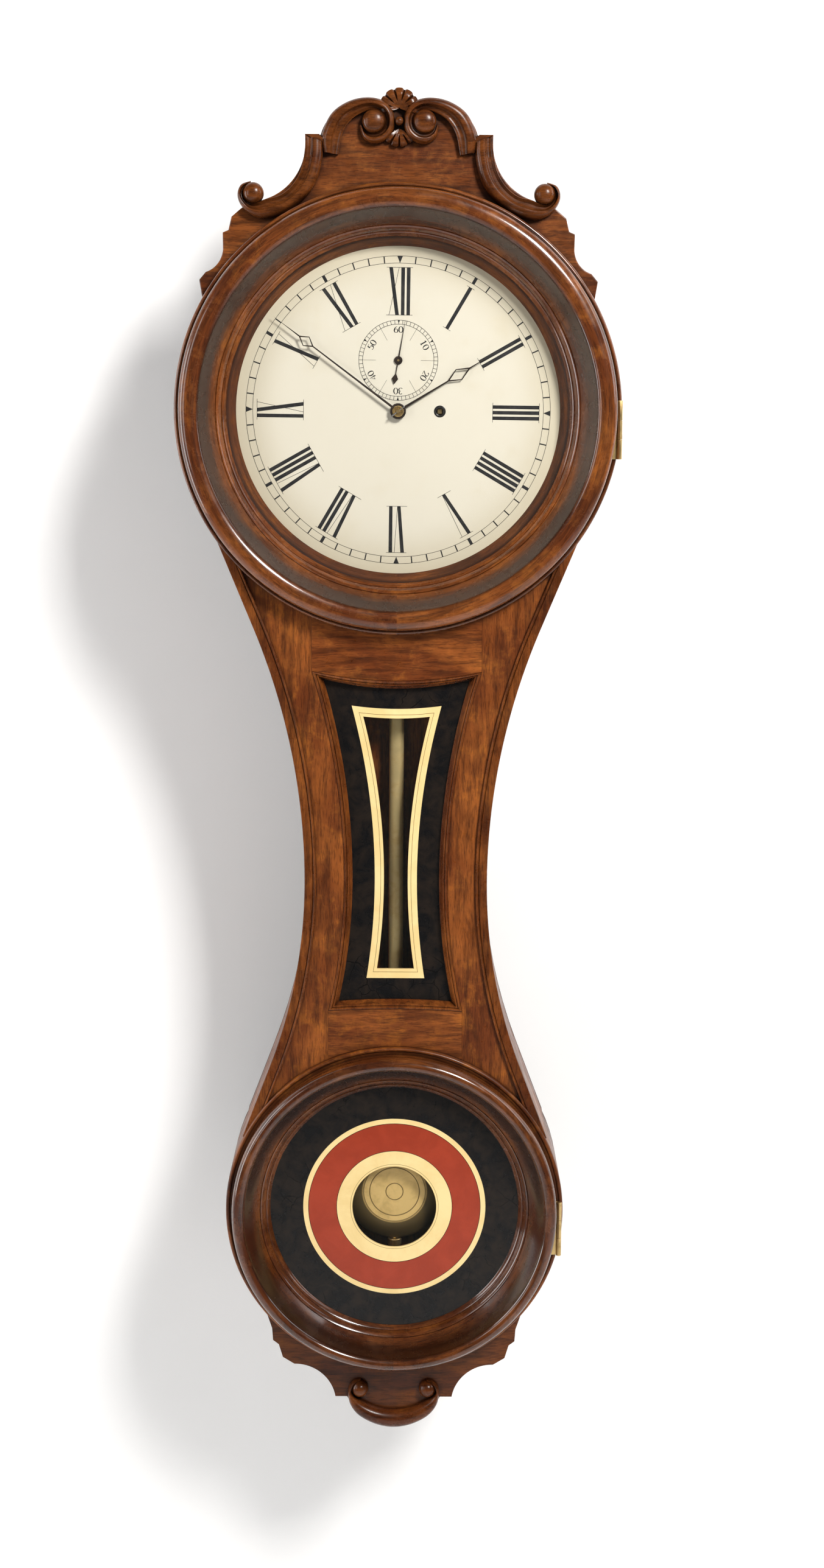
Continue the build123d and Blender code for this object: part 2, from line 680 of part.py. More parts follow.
def centre_scrolls():
    """Pair of C scrolls: a crescent arm that curls into a volute with a round eye."""
    arm = Pos(41, 281) * Circle(42) - Pos(34, 272) * Circle(38.5)
    arm &= Pos(47.5, 297) * Rectangle(85, 60)
    tip = outline_of((83, 285), (79, 280), (68, 268), (62, 272), (61, 290), (70, 300))
    volute = Pos(*VOLUTE) * RegularPolygon(VOLUTE_RADIUS, ROUND_SIDES)
    eye = pin(VOLUTE, EYE_RADIUS, CREST_FRONT - RELIEF, CREST_FRONT - RELIEF - EYE_PROUD)
    return pair(relief(arm + tip + volute) + eye)


def shoulder_scrolls():
    """Pair of shoulder scrolls: a swept band from the square corner down to a rolled end."""
    band = face_of(
        Line((83.4, 285), (98.4, 285)),
        ThreePointArc((98.4, 285), (108.5, 243.5), (133.4, 222)),
        Line((133.4, 222), ROLL),
        Line(ROLL, (ROLL[0], ROLL[1] - ROLL_RADIUS)),
        ThreePointArc((ROLL[0], ROLL[1] - ROLL_RADIUS), (139, 206), (124.5, 209.4)),
        ThreePointArc((124.5, 209.4), (96, 233), (83.4, 268)),
        Line((83.4, 268), (83.4, 285)),
    )
    roll = Pos(*ROLL) * RegularPolygon(ROLL_RADIUS, ROUND_SIDES)
    eye = pin(ROLL, EYE_RADIUS, CREST_FRONT - RELIEF, CREST_FRONT - RELIEF - EYE_PROUD)
    return pair(relief(band + roll) + eye)


def scallop(place, radius, lobes, spread, facing):
    """Outline of a carved shell: flat ended lobes fanned about a place, spread in degrees each."""
    start = facing - lobes * spread / 2
    corners = [(0, 0)]
    for i in range(lobes):
        for share, reach in ((0.0, 0.9), (0.3, 1.0), (0.7, 1.0)):
            turn = (start + spread * (i + share)) * pi / 180
            corners.append((radius * reach * sin(turn), radius * reach * cos(turn)))
    turn = (start + spread * lobes) * pi / 180
    corners.append((radius * 0.9 * sin(turn), radius * 0.9 * cos(turn)))
    return Pos(*place) * outline_of(*corners)


def crest_shell():
    """Fan above, small shell below and a round boss between them."""
    fan = scallop((0, CREST_TOP - FAN_RADIUS), FAN_RADIUS, 7, 28, 0)
    small = scallop((0, BOSS_HEIGHT - BOSS_RADIUS), SHELL_RADIUS + 10, 5, 26, 180)
    volutes = Pos(*VOLUTE) * RegularPolygon(VOLUTE_RADIUS, ROUND_SIDES) + Pos(41, 281) * Circle(42)
    volutes += mirror(volutes, about=Plane.YZ)
    neck = Pos(0, (CREST_TOP - FAN_RADIUS + BOSS_HEIGHT) / 2) * Rectangle(2 * BOSS_RADIUS, 20)
    boss = pin((0, BOSS_HEIGHT), BOSS_RADIUS, CREST_FRONT, CREST_FRONT - RELIEF - EYE_PROUD)
    leaves = slab(fan + neck + small - volutes, CREST_FRONT, CREST_FRONT - RELIEF + 3)
    return leaves + boss


def base_outline():
    """Right half of the fretted board under the lower hoop."""
    return face_of(
        Line((0, -LOWER_DROP - 100), (146, -LOWER_DROP - 100)),
        Line((146, -LOWER_DROP - 100), (146, -995)),
        Line((146, -995), (137, -1022)),
        Line((137, -1022), (136, -1036)),
        Line((136, -1036), (129.5, -1041)),
        Line((129.5, -1041), (125, -1056)),
        Line((125, -1056), (112, -1064)),
        ThreePointArc((112, -1064), (79, -1077), (65.7, -1102.3)),
        Line((65.7, -1102.3), (52.4, -1102.3)),
        ThreePointArc((52.4, -1102.3), (30, -1126), (0, -BASE_BOTTOM + 2.5)),
        Line((0, -BASE_BOTTOM + 2.5), (0, -LOWER_DROP - 100)),
    )


def base_board():
    """Fretted board under the lower hoop."""
    half = base_outline()
    return slab(half + mirror(half, about=Plane.YZ) - LOWER_DISC, -CREST_BACK, CREST_FRONT)


def base_crescent():
    """Carved crescent with two rolled ends, on the foot of the base board."""
    outer_radius = (54**2 + 39.5**2) / (2 * 39.5)
    moon = Pos(0, -BASE_BOTTOM + outer_radius) * Circle(outer_radius)
    moon -= Pos(0, -1117 + 37) * Circle(37)
    moon &= Pos(0, -1117) * Rectangle(120, 44)
    roll = Pos(*BASE_ROLL) * RegularPolygon(BASE_ROLL_RADIUS, ROUND_SIDES)
    return relief(moon + roll + mirror(roll, about=Plane.YZ))


def baffle_board():
    """Thin board that hides the weight behind the pendulum, on two long cleats."""
    front = -BAFFLE_BACK - BAFFLE_THICKNESS
    board = block(-BAFFLE_HALF, BAFFLE_HALF, -BAFFLE_BACK, front, -BAFFLE_BOTTOM, -BAFFLE_TOP)
    for side in (-1, 1):
        inner = side * (BAFFLE_HALF - CLEAT_WIDTH)
        outer = side * BAFFLE_HALF
        board += block(inner, outer, -BACKBOARD_THICKNESS, -BAFFLE_BACK, -BAFFLE_BOTTOM, -BAFFLE_TOP)
    return board


def sight_ring():
    """Wooden ring round the dial, with a cone down to the dial's sight edge."""
    rim = UPPER_RADIUS - HOOP_WALL
    profile = outline_of(
        (DIAL_SIGHT_RADIUS, DIAL_FRONT),
        (UPPER_SIGHT_RADIUS + 0.5, SIGHT_FRONT),
        (rim, SIGHT_FRONT),
        (rim, DIAL_FRONT),
    )
    return turned(CENTRE, profile)


def dial_plate():
    """Painted zinc dial with holes for the hour pipe, the seconds arbor and the winding key."""
    face = Circle(DIAL_DIAMETER / 2)
    face -= hole(CENTRE, HOUR_PIPE_RADIUS + DIAL_HOLE_PLAY)
    face -= hole(SECONDS, SECONDS_ARBOR_RADIUS + DIAL_HOLE_PLAY)
    face -= hole(DRUM, GROMMET_RADIUS, ROUND_SIDES)
    return slab(face, DIAL_BACK, DIAL_FRONT)


def dial_buttons():
    """Four turn buttons that hold the dial against the sight ring."""
    reach = DIAL_DIAMETER / 2
    foot = block(reach + 1, reach + BUTTON_REACH, DIAL_BACK, DIAL_FRONT, -BUTTON_HALF, BUTTON_HALF)
    back = DIAL_BACK + BUTTON_THICKNESS
    finger = block(reach - BUTTON_GRIP, reach + BUTTON_REACH, back, DIAL_BACK, -BUTTON_HALF, BUTTON_HALF)
    return Compound([around(foot + finger, CENTRE, 90 * i + 45) for i in range(4)])


def winding_grommet():
    """Black eyelet round the winding hole."""
    bore = GROMMET_RADIUS - GROMMET_WALL
    wall = Pos(*DRUM) * RegularPolygon(GROMMET_RADIUS, ROUND_SIDES, major_radius=False)
    lip = Pos(*DRUM) * RegularPolygon(GROMMET_RADIUS + 1, ROUND_SIDES)
    opening = hole(DRUM, bore, ROUND_SIDES)
    tube = slab(wall - opening, DIAL_BACK, DIAL_FRONT)
    return tube + slab(lip - opening, DIAL_FRONT, DIAL_FRONT - GROMMET_LIP)


PLATE_OUTLINE = outline_of(
    (-50, -54),
    (92, -54),
    (92, 50),
    (35, 62),
    (35, 122),
    (-35, 122),
    (-35, 62),
    (-50, 46),
)
PILLARS = ((-42, -46), (84, -46), (84, 42), (-27, 114), (27, 114))
PIVOTS = ((CENTRE, 1.5), (THIRD, 0.8), (SECONDS, 0.8), (DRUM, 2.0), (VERGE, 0.8))
FRONT_PIVOTS = (
    (CENTRE, CENTRE_ARBOR_FRONT),
    (THIRD, 0.8),
    (SECONDS, SECONDS_ARBOR_RADIUS),
    (DRUM, DRUM_PIVOT),
    (VERGE, 1.2),
)


def plate(back, pivots):
    """Brass movement plate with a running hole for each pivot."""
    face = PLATE_OUTLINE
    for place, radius in pivots:
        face -= hole(place, radius + PIVOT_CLEARANCE)
    return slab(face, back, back - PLATE_THICKNESS)


def front_plate():
    """Front plate of the movement, with the stud that carries the minute wheel."""
    stud = pin(STUD, STUD_RADIUS, FRONT_PLATE_FRONT, STUD_END)
    cap = pin(STUD, STUD_RADIUS + 1, STUD_END, STUD_END - 0.8)
    return plate(-FRONT_PLATE_BACK, FRONT_PIVOTS) + stud + cap


def plate_pillars():
    """Pillars between the plates, and the post that holds the end of the line."""
    posts = [pin(place, PILLAR_RADIUS, BACK_PLATE_FRONT, -FRONT_PLATE_BACK) for place in PILLARS]
    return Compound(posts + [pin(LINE_POST, LINE_POST_RADIUS, BACK_PLATE_FRONT, -FRONT_PLATE_BACK)])


def movement_brackets():
    """Two iron bars that carry the movement on the backboard."""
    left = block(-50, -38, -BACKBOARD_THICKNESS, -BACK_PLATE_BACK, -54, 44)
    right = block(80, 92, -BACKBOARD_THICKNESS, -BACK_PLATE_BACK, -54, 48)
    return Compound([left, right])


def suspension_bracket():
    """Iron bracket on the backboard that reaches over the movement to hang the pendulum."""
    foot = block(-24, 24, -BACKBOARD_THICKNESS, -20, 126, 172)
    arm = block(-8, 8, -20, LOOP_Y - 5, 129, 141)
    rib = block(-2, 2, -20, -50, 141, 160)
    slit = block(-SPRING_THICKNESS, SPRING_THICKNESS, LOOP_Y - 5, LOOP_Y + 5.5, 129, 141)
    return foot + arm + rib - slit


def suspension_spring():
    """Flat steel strip in the bracket's slit, down to the point that the pendulum bends at."""
    half = SPRING_THICKNESS / 2
    return block(-half, half, LOOP_Y - 5, LOOP_Y + 5, SWING_AXIS_HEIGHT + 0.2, 141)


def direction(place, toward):
    """Angle in the front view from one place to another."""
    return atan2(toward[1] - place[1], toward[0] - place[0])


def polar(place, turns):
    """Corners round a place from (radius, angle) pairs, as one outline."""
    return Pos(*place) * outline_of(*[(r * cos(a), r * sin(a)) for r, a in turns])


def pointed_teeth(place, teeth, root, tip, phase, lean=0.0):
    """Outline of a wheel with pointed teeth, upright or leaning by a share of the pitch."""
    step = 2 * pi / teeth
    turns = []
    for i in range(teeth):
        middle = phase + i * step
        turns += [(root, middle - step / 2), (tip, middle + lean * step)]
    return polar(place, turns)


def wheel_outline(place, teeth, module, toward):
    """A clock wheel; a gap between two teeth faces the pinion that it drives."""
    pitch = module * teeth / 2
    phase = direction(place, toward) + pi / teeth
    return pointed_teeth(place, teeth, pitch - WHEEL_ROOT * module, pitch + WHEEL_TIP * module, phase)


def pinion_outline(place, leaves, module, toward):
    """A pinion with flat topped leaves; one leaf faces the wheel that it meets."""
    root = module * leaves / 2 - PINION_ROOT * module
    tip = module * leaves / 2 + PINION_TIP * module
    step = 2 * pi / leaves
    turns = []
    for i in range(leaves):
        middle = direction(place, toward) + i * step
        turns.append((root, middle - PINION_FOOT * step / 2))
        turns.append((tip, middle - PINION_TOP * step / 2))
        turns.append((tip, middle + PINION_TOP * step / 2))
        turns.append((root, middle + PINION_FOOT * step / 2))
    return polar(place, turns)


def crossings(place, inner, outer, arms):
    """Straight edged windows between the arms of a wheel."""
    half = pi / arms
    near = inner + WHEEL_ARM / 2 / sin(half)
    swing = half - WHEEL_ARM / outer
    middles = [half * (2 * i + 1) for i in range(arms)]
    return [polar(place, [(near, m), (outer, m - swing), (outer, m), (outer, m + swing)]) for m in middles]


def wheel(place, teeth, module, toward, back, thickness, bore, arms=4):
    """A crossed out wheel."""
    face = wheel_outline(place, teeth, module, toward) - hole(place, bore)
    rim = module * teeth / 2 - WHEEL_ROOT * module - WHEEL_RIM
    for window_face in crossings(place, bore + WHEEL_HUB, rim, arms):
        face -= window_face
    return slab(face, back, back - thickness)


def arbor(place, back_pivot, body, front_pivot, front_end):
    """A turned arbor with a pivot at each plate."""
    shaft = pin(place, body, INNER_BACK, INNER_FRONT)
    shaft += pin(place, back_pivot, -BACK_PLATE_BACK, INNER_BACK)
    return shaft + pin(place, front_pivot, INNER_FRONT, front_end)


def taper_pin():
    """Steel pin through the centre arbor, in front of the collet."""
    half = TAPER_PIN_LENGTH / 2
    rod = upright(TAPER_PIN_RADIUS, TAPER_PIN_Y, -half, half)
    return around(rod, CENTRE, TAPER_PIN_ANGLE)


def centre_wheel():
    """Centre arbor with its pinion and wheel; it turns once an hour."""
    shaft = arbor(CENTRE, 1.5, 2.5, CENTRE_ARBOR_FRONT, CENTRE_END) - taper_pin()
    pinion = slab(pinion_outline(CENTRE, LEAVES, GREAT_MODULE, DRUM), GREAT_BACK + 2.0, GREAT_BACK - 4.0)
    return shaft + pinion + wheel(CENTRE, CENTRE_TEETH, CENTRE_MODULE, THIRD, CENTRE_WHEEL_BACK, 1.5, 2.0)


def third_wheel():
    """Third arbor with its pinion and wheel."""
    shaft = arbor(THIRD, 0.8, 1.8, 0.8, FRONT_PLATE_FRONT)
    face = pinion_outline(THIRD, LEAVES, CENTRE_MODULE, CENTRE)
    pinion = slab(face, CENTRE_WHEEL_BACK + 2.0, CENTRE_WHEEL_BACK - 2.5)
    return shaft + pinion + wheel(THIRD, THIRD_TEETH, THIRD_MODULE, SECONDS, THIRD_WHEEL_BACK, 1.5, 1.5)


def escape_wheel():
    """Escape arbor with its pinion and thin pointed wheel; it carries the seconds hand."""
    shaft = arbor(SECONDS, 0.8, 1.6, SECONDS_ARBOR_RADIUS, SECONDS_END)
    face = pinion_outline(SECONDS, LEAVES, THIRD_MODULE, THIRD)
    pinion = slab(face, THIRD_WHEEL_BACK + 3.0, THIRD_WHEEL_BACK - 4.5)
    root = ESCAPE_RADIUS - ESCAPE_TOOTH
    face = pointed_teeth(SECONDS, ESCAPE_TEETH, root, ESCAPE_RADIUS, 0, -0.6)
    for window_face in crossings(SECONDS, 4.5, root - 2.0, 4):
        face -= window_face
    return shaft + pinion + slab(face, ESCAPE_BACK, ESCAPE_BACK - 0.9)


def great_wheel():
    """Great wheel, free on the drum's arbor, with the stud that the click turns on."""
    bore = DRUM_ARBOR_RADIUS + PIVOT_CLEARANCE
    body = wheel(DRUM, GREAT_TEETH, GREAT_MODULE, CENTRE, GREAT_BACK, 2.0, bore, 5)
    return body + pin(CLICK_STUD, CLICK_STUD_RADIUS, GREAT_BACK + CLICK_ROOM, GREAT_BACK)


def click():
    """Pawl that lets the drum be wound and then holds it to the great wheel."""
    tip = RATCHET_RADIUS + 0.4
    angle = direction(DRUM, CLICK_STUD)
    reach = angle + CLICK_LAG
    nose = (DRUM[0] + tip * cos(reach), DRUM[1] + tip * sin(reach))
    heel = (DRUM[0] + (tip + 2.2) * cos(reach + 0.1), DRUM[1] + (tip + 2.2) * sin(reach + 0.1))
    out = (CLICK_STUD[0] + 2.2 * cos(angle), CLICK_STUD[1] + 2.2 * sin(angle))
    into = (CLICK_STUD[0] - 2.2 * cos(angle), CLICK_STUD[1] - 2.2 * sin(angle))
    shape = Pos(*CLICK_STUD) * RegularPolygon(CLICK_STUD_RADIUS + CLICK_EYE, SMALL_SIDES)
    shape += outline_of(out, heel, nose, into)
    shape -= hole(CLICK_STUD, CLICK_STUD_RADIUS + PIVOT_CLEARANCE)
    return slab(shape, GREAT_BACK + CLICK_ROOM - 0.3, GREAT_BACK + 0.3)


def winding_drum():
    """Drum for the line, with its flanges, ratchet and squared winding arbor."""
    body = arbor(DRUM, 2.0, DRUM_ARBOR_RADIUS, DRUM_PIVOT, FRONT_PLATE_FRONT - 0.5)
    body += pin(DRUM, DRUM_RADIUS, DRUM_BACK, DRUM_FRONT, ROUND_SIDES)
    body += pin(DRUM, DRUM_FLANGE_RADIUS, DRUM_BACK, DRUM_BACK - DRUM_FLANGE, ROUND_SIDES)
    body += pin(DRUM, DRUM_FLANGE_RADIUS, DRUM_FRONT + DRUM_FLANGE, DRUM_FRONT, ROUND_SIDES)
    face = pointed_teeth(DRUM, RATCHET_TEETH, RATCHET_RADIUS - RATCHET_TOOTH, RATCHET_RADIUS, 0, 0.35)
    ratchet = slab(face, DRUM_FRONT, DRUM_FRONT - RATCHET_TOOTH)
    side = WINDING_SQUARE / 2
    square = block(DRUM[0] - side, DRUM[0] + side, FRONT_PLATE_FRONT, WINDING_END, -side, side)
    return body + ratchet + square


def cannon_pinion():
    """Cannon pinion on the centre arbor; its pipe carries the minute hand."""
    face = pinion_outline(CENTRE, CANNON_LEAVES, CANNON_MODULE, STUD) - hole(CENTRE, CANNON_BORE)
    gear = slab(face, CANNON_BACK, CANNON_BACK - 3.5)
    return gear + pipe(CENTRE, CANNON_BORE, CANNON_PIPE_RADIUS, CANNON_BACK, CANNON_END)


def minute_wheel():
    """Minute wheel and its pinion, on the stud of the front plate."""
    bore = STUD_RADIUS + PIVOT_CLEARANCE
    body = wheel(STUD, MINUTE_WHEEL_TEETH, CANNON_MODULE, CENTRE, CANNON_BACK - 0.4, 2.0, bore)
    face = pinion_outline(STUD, MINUTE_PINION_LEAVES, HOUR_MODULE, CENTRE) - hole(STUD, bore)
    return body + slab(face, CANNON_BACK - 2.4, STUD_END + 0.4)


def hour_wheel():
    """Hour wheel; its pipe runs over the cannon pipe and carries the hour hand."""
    face = wheel_outline(CENTRE, HOUR_TEETH, HOUR_MODULE, STUD) - hole(CENTRE, HOUR_BORE)
    gear = slab(face, HOUR_BACK, HOUR_BACK - 2.0)
    return gear + pipe(CENTRE, HOUR_BORE, HOUR_PIPE_RADIUS, HOUR_BACK, HOUR_HAND_BACK - HAND_THICKNESS)


def lozenge_outline(stem, lozenge, tip):
    """A tapered stem with a lozenge in it: stem half widths, then (start, end, half width, bar)."""
    start, end, half, bar = lozenge
    middle = (start + end) / 2
    right = [(stem[0], 0), (stem[1], start), (half, middle), (stem[1], end), (0, tip)]
    left = [(-x, z) for x, z in reversed(right[:-1])]
    outline = outline_of(*right, *left)
    if bar:
        inset = bar * (end - start) / (2 * half)
        pierced = [(0, start + inset), (half - bar, middle), (0, end - inset), (bar - half, middle)]
        outline -= outline_of(*pierced)
    return outline


def hand(place, outline, hub, bore, angle, back, thickness):
    """A flat hand on its hub, turned clockwise from twelve."""
    outline += RegularPolygon(hub, ROUND_SIDES)
    outline -= RegularPolygon(bore + SEAT_PLAY, SMALL_SIDES, major_radius=False)
    return slab(Pos(*place) * Rot(0, 0, -angle) * outline, back, back - thickness)


def hour_hand():
    """Hour hand on the hour pipe."""
    outline = lozenge_outline((1.5, 0.7), (62.0, 89.0, 6.6, 1.1), HOUR_HAND_LENGTH)
    return hand(CENTRE, outline, HOUR_HUB, HOUR_PIPE_RADIUS, HOUR_ANGLE, HOUR_HAND_BACK, HAND_THICKNESS)


def minute_hand():
    """Minute hand on the cannon pipe."""
    outline = lozenge_outline((1.3, 0.7), (113.0, 131.0, 6.0, 1.0), MINUTE_HAND_LENGTH)
    back = MINUTE_HAND_BACK
    return hand(CENTRE, outline, MINUTE_HUB, CANNON_PIPE_RADIUS, MINUTE_ANGLE, back, HAND_THICKNESS)


def seconds_hand():
    """Seconds hand with a solid lozenge on its tail."""
    needle = outline_of((0.7, 0), (0, SECONDS_HAND_LENGTH), (-0.7, 0))
    tail = lozenge_outline((0.6, 0.4), (14.3, 25.0, 3.4, 0), 25.5)
    outline = Rot(0, 0, -SECONDS_ANGLE) * (needle + Rot(0, 0, 180) * tail)
    back = SECONDS_HAND_BACK
    return hand(SECONDS, outline, SECONDS_HUB, SECONDS_ARBOR_RADIUS, 0, back, SECONDS_HAND_THICKNESS)


def collet():
    """Brass collet in front of the minute hand, and the taper pin that holds it."""
    face = RegularPolygon(COLLET_RADIUS, ROUND_SIDES) - hole(CENTRE, CENTRE_ARBOR_FRONT + SEAT_PLAY)
    return Compound([slab(face, CANNON_END, COLLET_FRONT), taper_pin()])


def verge():
    """Pallet arbor with its deadbeat pallets, and the crutch that drives the pendulum's loop."""
    right = outline_of(
        (0, 104),
        (7, 101),
        (24.5, 76),
        (26.6, 67),
        (31, 69),
        (29.5, 80),
        (12, 109),
        (0, 114),
    )
    pallets = slab(right + mirror(right, about=Plane.YZ), ESCAPE_BACK + 0.6, ESCAPE_BACK - 1.5)
    crutch_back = CRUTCH_FRONT + CRUTCH_THICKNESS
    hub = pin(VERGE, CRUTCH_HUB, crutch_back, CRUTCH_FRONT)
    arm = block(-1.8, 1.8, crutch_back, CRUTCH_FRONT, CRUTCH_PIN_Z - 4, SWING_AXIS_HEIGHT)
    finger = pin((0, CRUTCH_PIN_Z), CRUTCH_PIN_RADIUS, CRUTCH_FRONT, LOOP_Y - LOOP_DEPTH / 2 - 1)
    return arbor(VERGE, 0.8, 2.2, 1.2, CRUTCH_FRONT) + pallets + hub + arm + finger


def trapezium(high, low, high_half, low_half):
    """A keystone outline between two heights."""
    return outline_of((-high_half, high), (high_half, high), (low_half, low), (-low_half, low))


def keystone_loop():
    """Keystone shaped loop that carries the pendulum round the arbors, with its head for the spring."""
    outer = trapezium(LOOP_TOP, -LOOP_BOTTOM, LOOP_TOP_HALF, LOOP_BOTTOM_HALF)
    inner = trapezium(
        LOOP_TOP - LOOP_BAR,
        LOOP_BAR - LOOP_BOTTOM,
        LOOP_TOP_HALF - LOOP_BAR,
        LOOP_BOTTOM_HALF - LOOP_BAR,
    )
    head = trapezium(SWING_AXIS_HEIGHT - 0.4, LOOP_TOP, LOOP_HEAD_HALF, LOOP_HEAD_HALF)
    eye = hole((0, CRUTCH_PIN_Z), CRUTCH_PIN_RADIUS + 0.3)
    return slab(outer + head - inner - eye, LOOP_Y + LOOP_DEPTH / 2, LOOP_Y - LOOP_DEPTH / 2)


def pendulum_rod():
    """Wooden rod from the loop into the bob, with a threaded brass end below it."""
    half = ROD_WIDTH / 2
    rod = block(-half, half, LOOP_Y + ROD_DEPTH / 2, LOOP_Y - ROD_DEPTH / 2, ROD_FOOT, -LOOP_BOTTOM)
    return rod + upright(SCREW_RADIUS, LOOP_Y, NUT_TOP - NUT_HEIGHT - SCREW_TAIL, ROD_FOOT)


def bob():
    """Brass bob, thick in the middle and bevelled to its rim, slotted for the rod."""
    half = BOB_THICKNESS / 2
    rim = BOB_RIM_THICKNESS / 2
    profile = outline_of(
        (0, LOOP_Y + half),
        (BOB_FLAT_RADIUS, LOOP_Y + half),
        (BOB_RADIUS, LOOP_Y + rim),
        (BOB_RADIUS, LOOP_Y - rim),
        (BOB_FLAT_RADIUS, LOOP_Y - half),
        (0, LOOP_Y - half),
    )
    side = ROD_WIDTH / 2 + SLOT_PLAY
    deep = ROD_DEPTH / 2 + SLOT_PLAY
    foot = ROD_FOOT - SLOT_PLAY
    slot = block(-side, side, LOOP_Y + deep, LOOP_Y - deep, foot, -BOB_DROP + BOB_RADIUS)
    drill = upright(SCREW_RADIUS + SLOT_PLAY, LOOP_Y, -BOB_DROP - BOB_RADIUS - 1, foot)
    return turned((0, -BOB_DROP), profile) - slot - drill


def rating_nut():
    """Round nut under the bob that sets its height."""
    face = RegularPolygon(NUT_RADIUS, ROUND_SIDES)
    face -= RegularPolygon(SCREW_RADIUS + SEAT_PLAY, SMALL_SIDES, major_radius=False)
    return Pos(0, LOOP_Y, NUT_TOP - NUT_HEIGHT) * extrude(face, amount=NUT_HEIGHT)


def weight():
    """Flat iron weight with the stirrup that holds its pulley."""
    top = -PULLEY_DROP - PULLEY_RADIUS - 9
    half = WEIGHT_WIDTH / 2
    back = -LINE_DEPTH + WEIGHT_THICKNESS / 2
    front = -LINE_DEPTH - WEIGHT_THICKNESS / 2
    body = block(WEIGHT_X - half, WEIGHT_X + half, back, front, top - WEIGHT_HEIGHT, top)
    body = chamfer(body.edges().filter_by(Axis.Z), WEIGHT_CHAMFER)
    left = WEIGHT_X - STIRRUP_HALF
    right = WEIGHT_X + STIRRUP_HALF
    for side in (-1, 1):
        near = -LINE_DEPTH + side * (PULLEY_WIDTH / 2 + 0.4)
        body += block(left, right, near, near + side * STIRRUP_THICKNESS, top, -PULLEY_DROP + 5)
    reach = PULLEY_WIDTH / 2 + 1
    return body + pin((WEIGHT_X, -PULLEY_DROP), PULLEY_PIN_RADIUS, reach - LINE_DEPTH, -reach - LINE_DEPTH)


def weight_pulley():
    """Grooved pulley in the stirrup of the weight."""
    place = (WEIGHT_X, -PULLEY_DROP)
    half = PULLEY_WIDTH / 2
    floor = LINE_RADIUS + LINE_GAP
    core = PULLEY_RADIUS - floor
    bore = PULLEY_PIN_RADIUS + PIVOT_CLEARANCE
    pulley = pipe(place, bore, core, floor - LINE_DEPTH, -floor - LINE_DEPTH, ROUND_SIDES)
    rim = PULLEY_RADIUS + PULLEY_FLANGE
    for back, front in ((half, floor), (-floor, -half)):
        pulley += pipe(place, bore, rim, back - LINE_DEPTH, front - LINE_DEPTH, ROUND_SIDES)
    return pulley


def weight_line():
    """Gut line from the drum, under the weight's pulley and up to its post."""
    right = WEIGHT_X + PULLEY_RADIUS
    left = WEIGHT_X - PULLEY_RADIUS
    depth = -LINE_DEPTH
    lowest = (WEIGHT_X, depth, -PULLEY_DROP - PULLEY_RADIUS)
    path = Curve() + [
        Line((right, depth, 0), (right, depth, -PULLEY_DROP)),
        ThreePointArc((right, depth, -PULLEY_DROP), lowest, (left, depth, -PULLEY_DROP)),
        Line((left, depth, -PULLEY_DROP), (left, depth, LINE_POST_Z - LINE_POST_RADIUS - 0.1)),
    ]
    start = Plane(origin=(right, depth, 0), z_dir=(0, 0, -1))
    return sweep(start * RegularPolygon(LINE_RADIUS, LINE_SIDES), path=path)


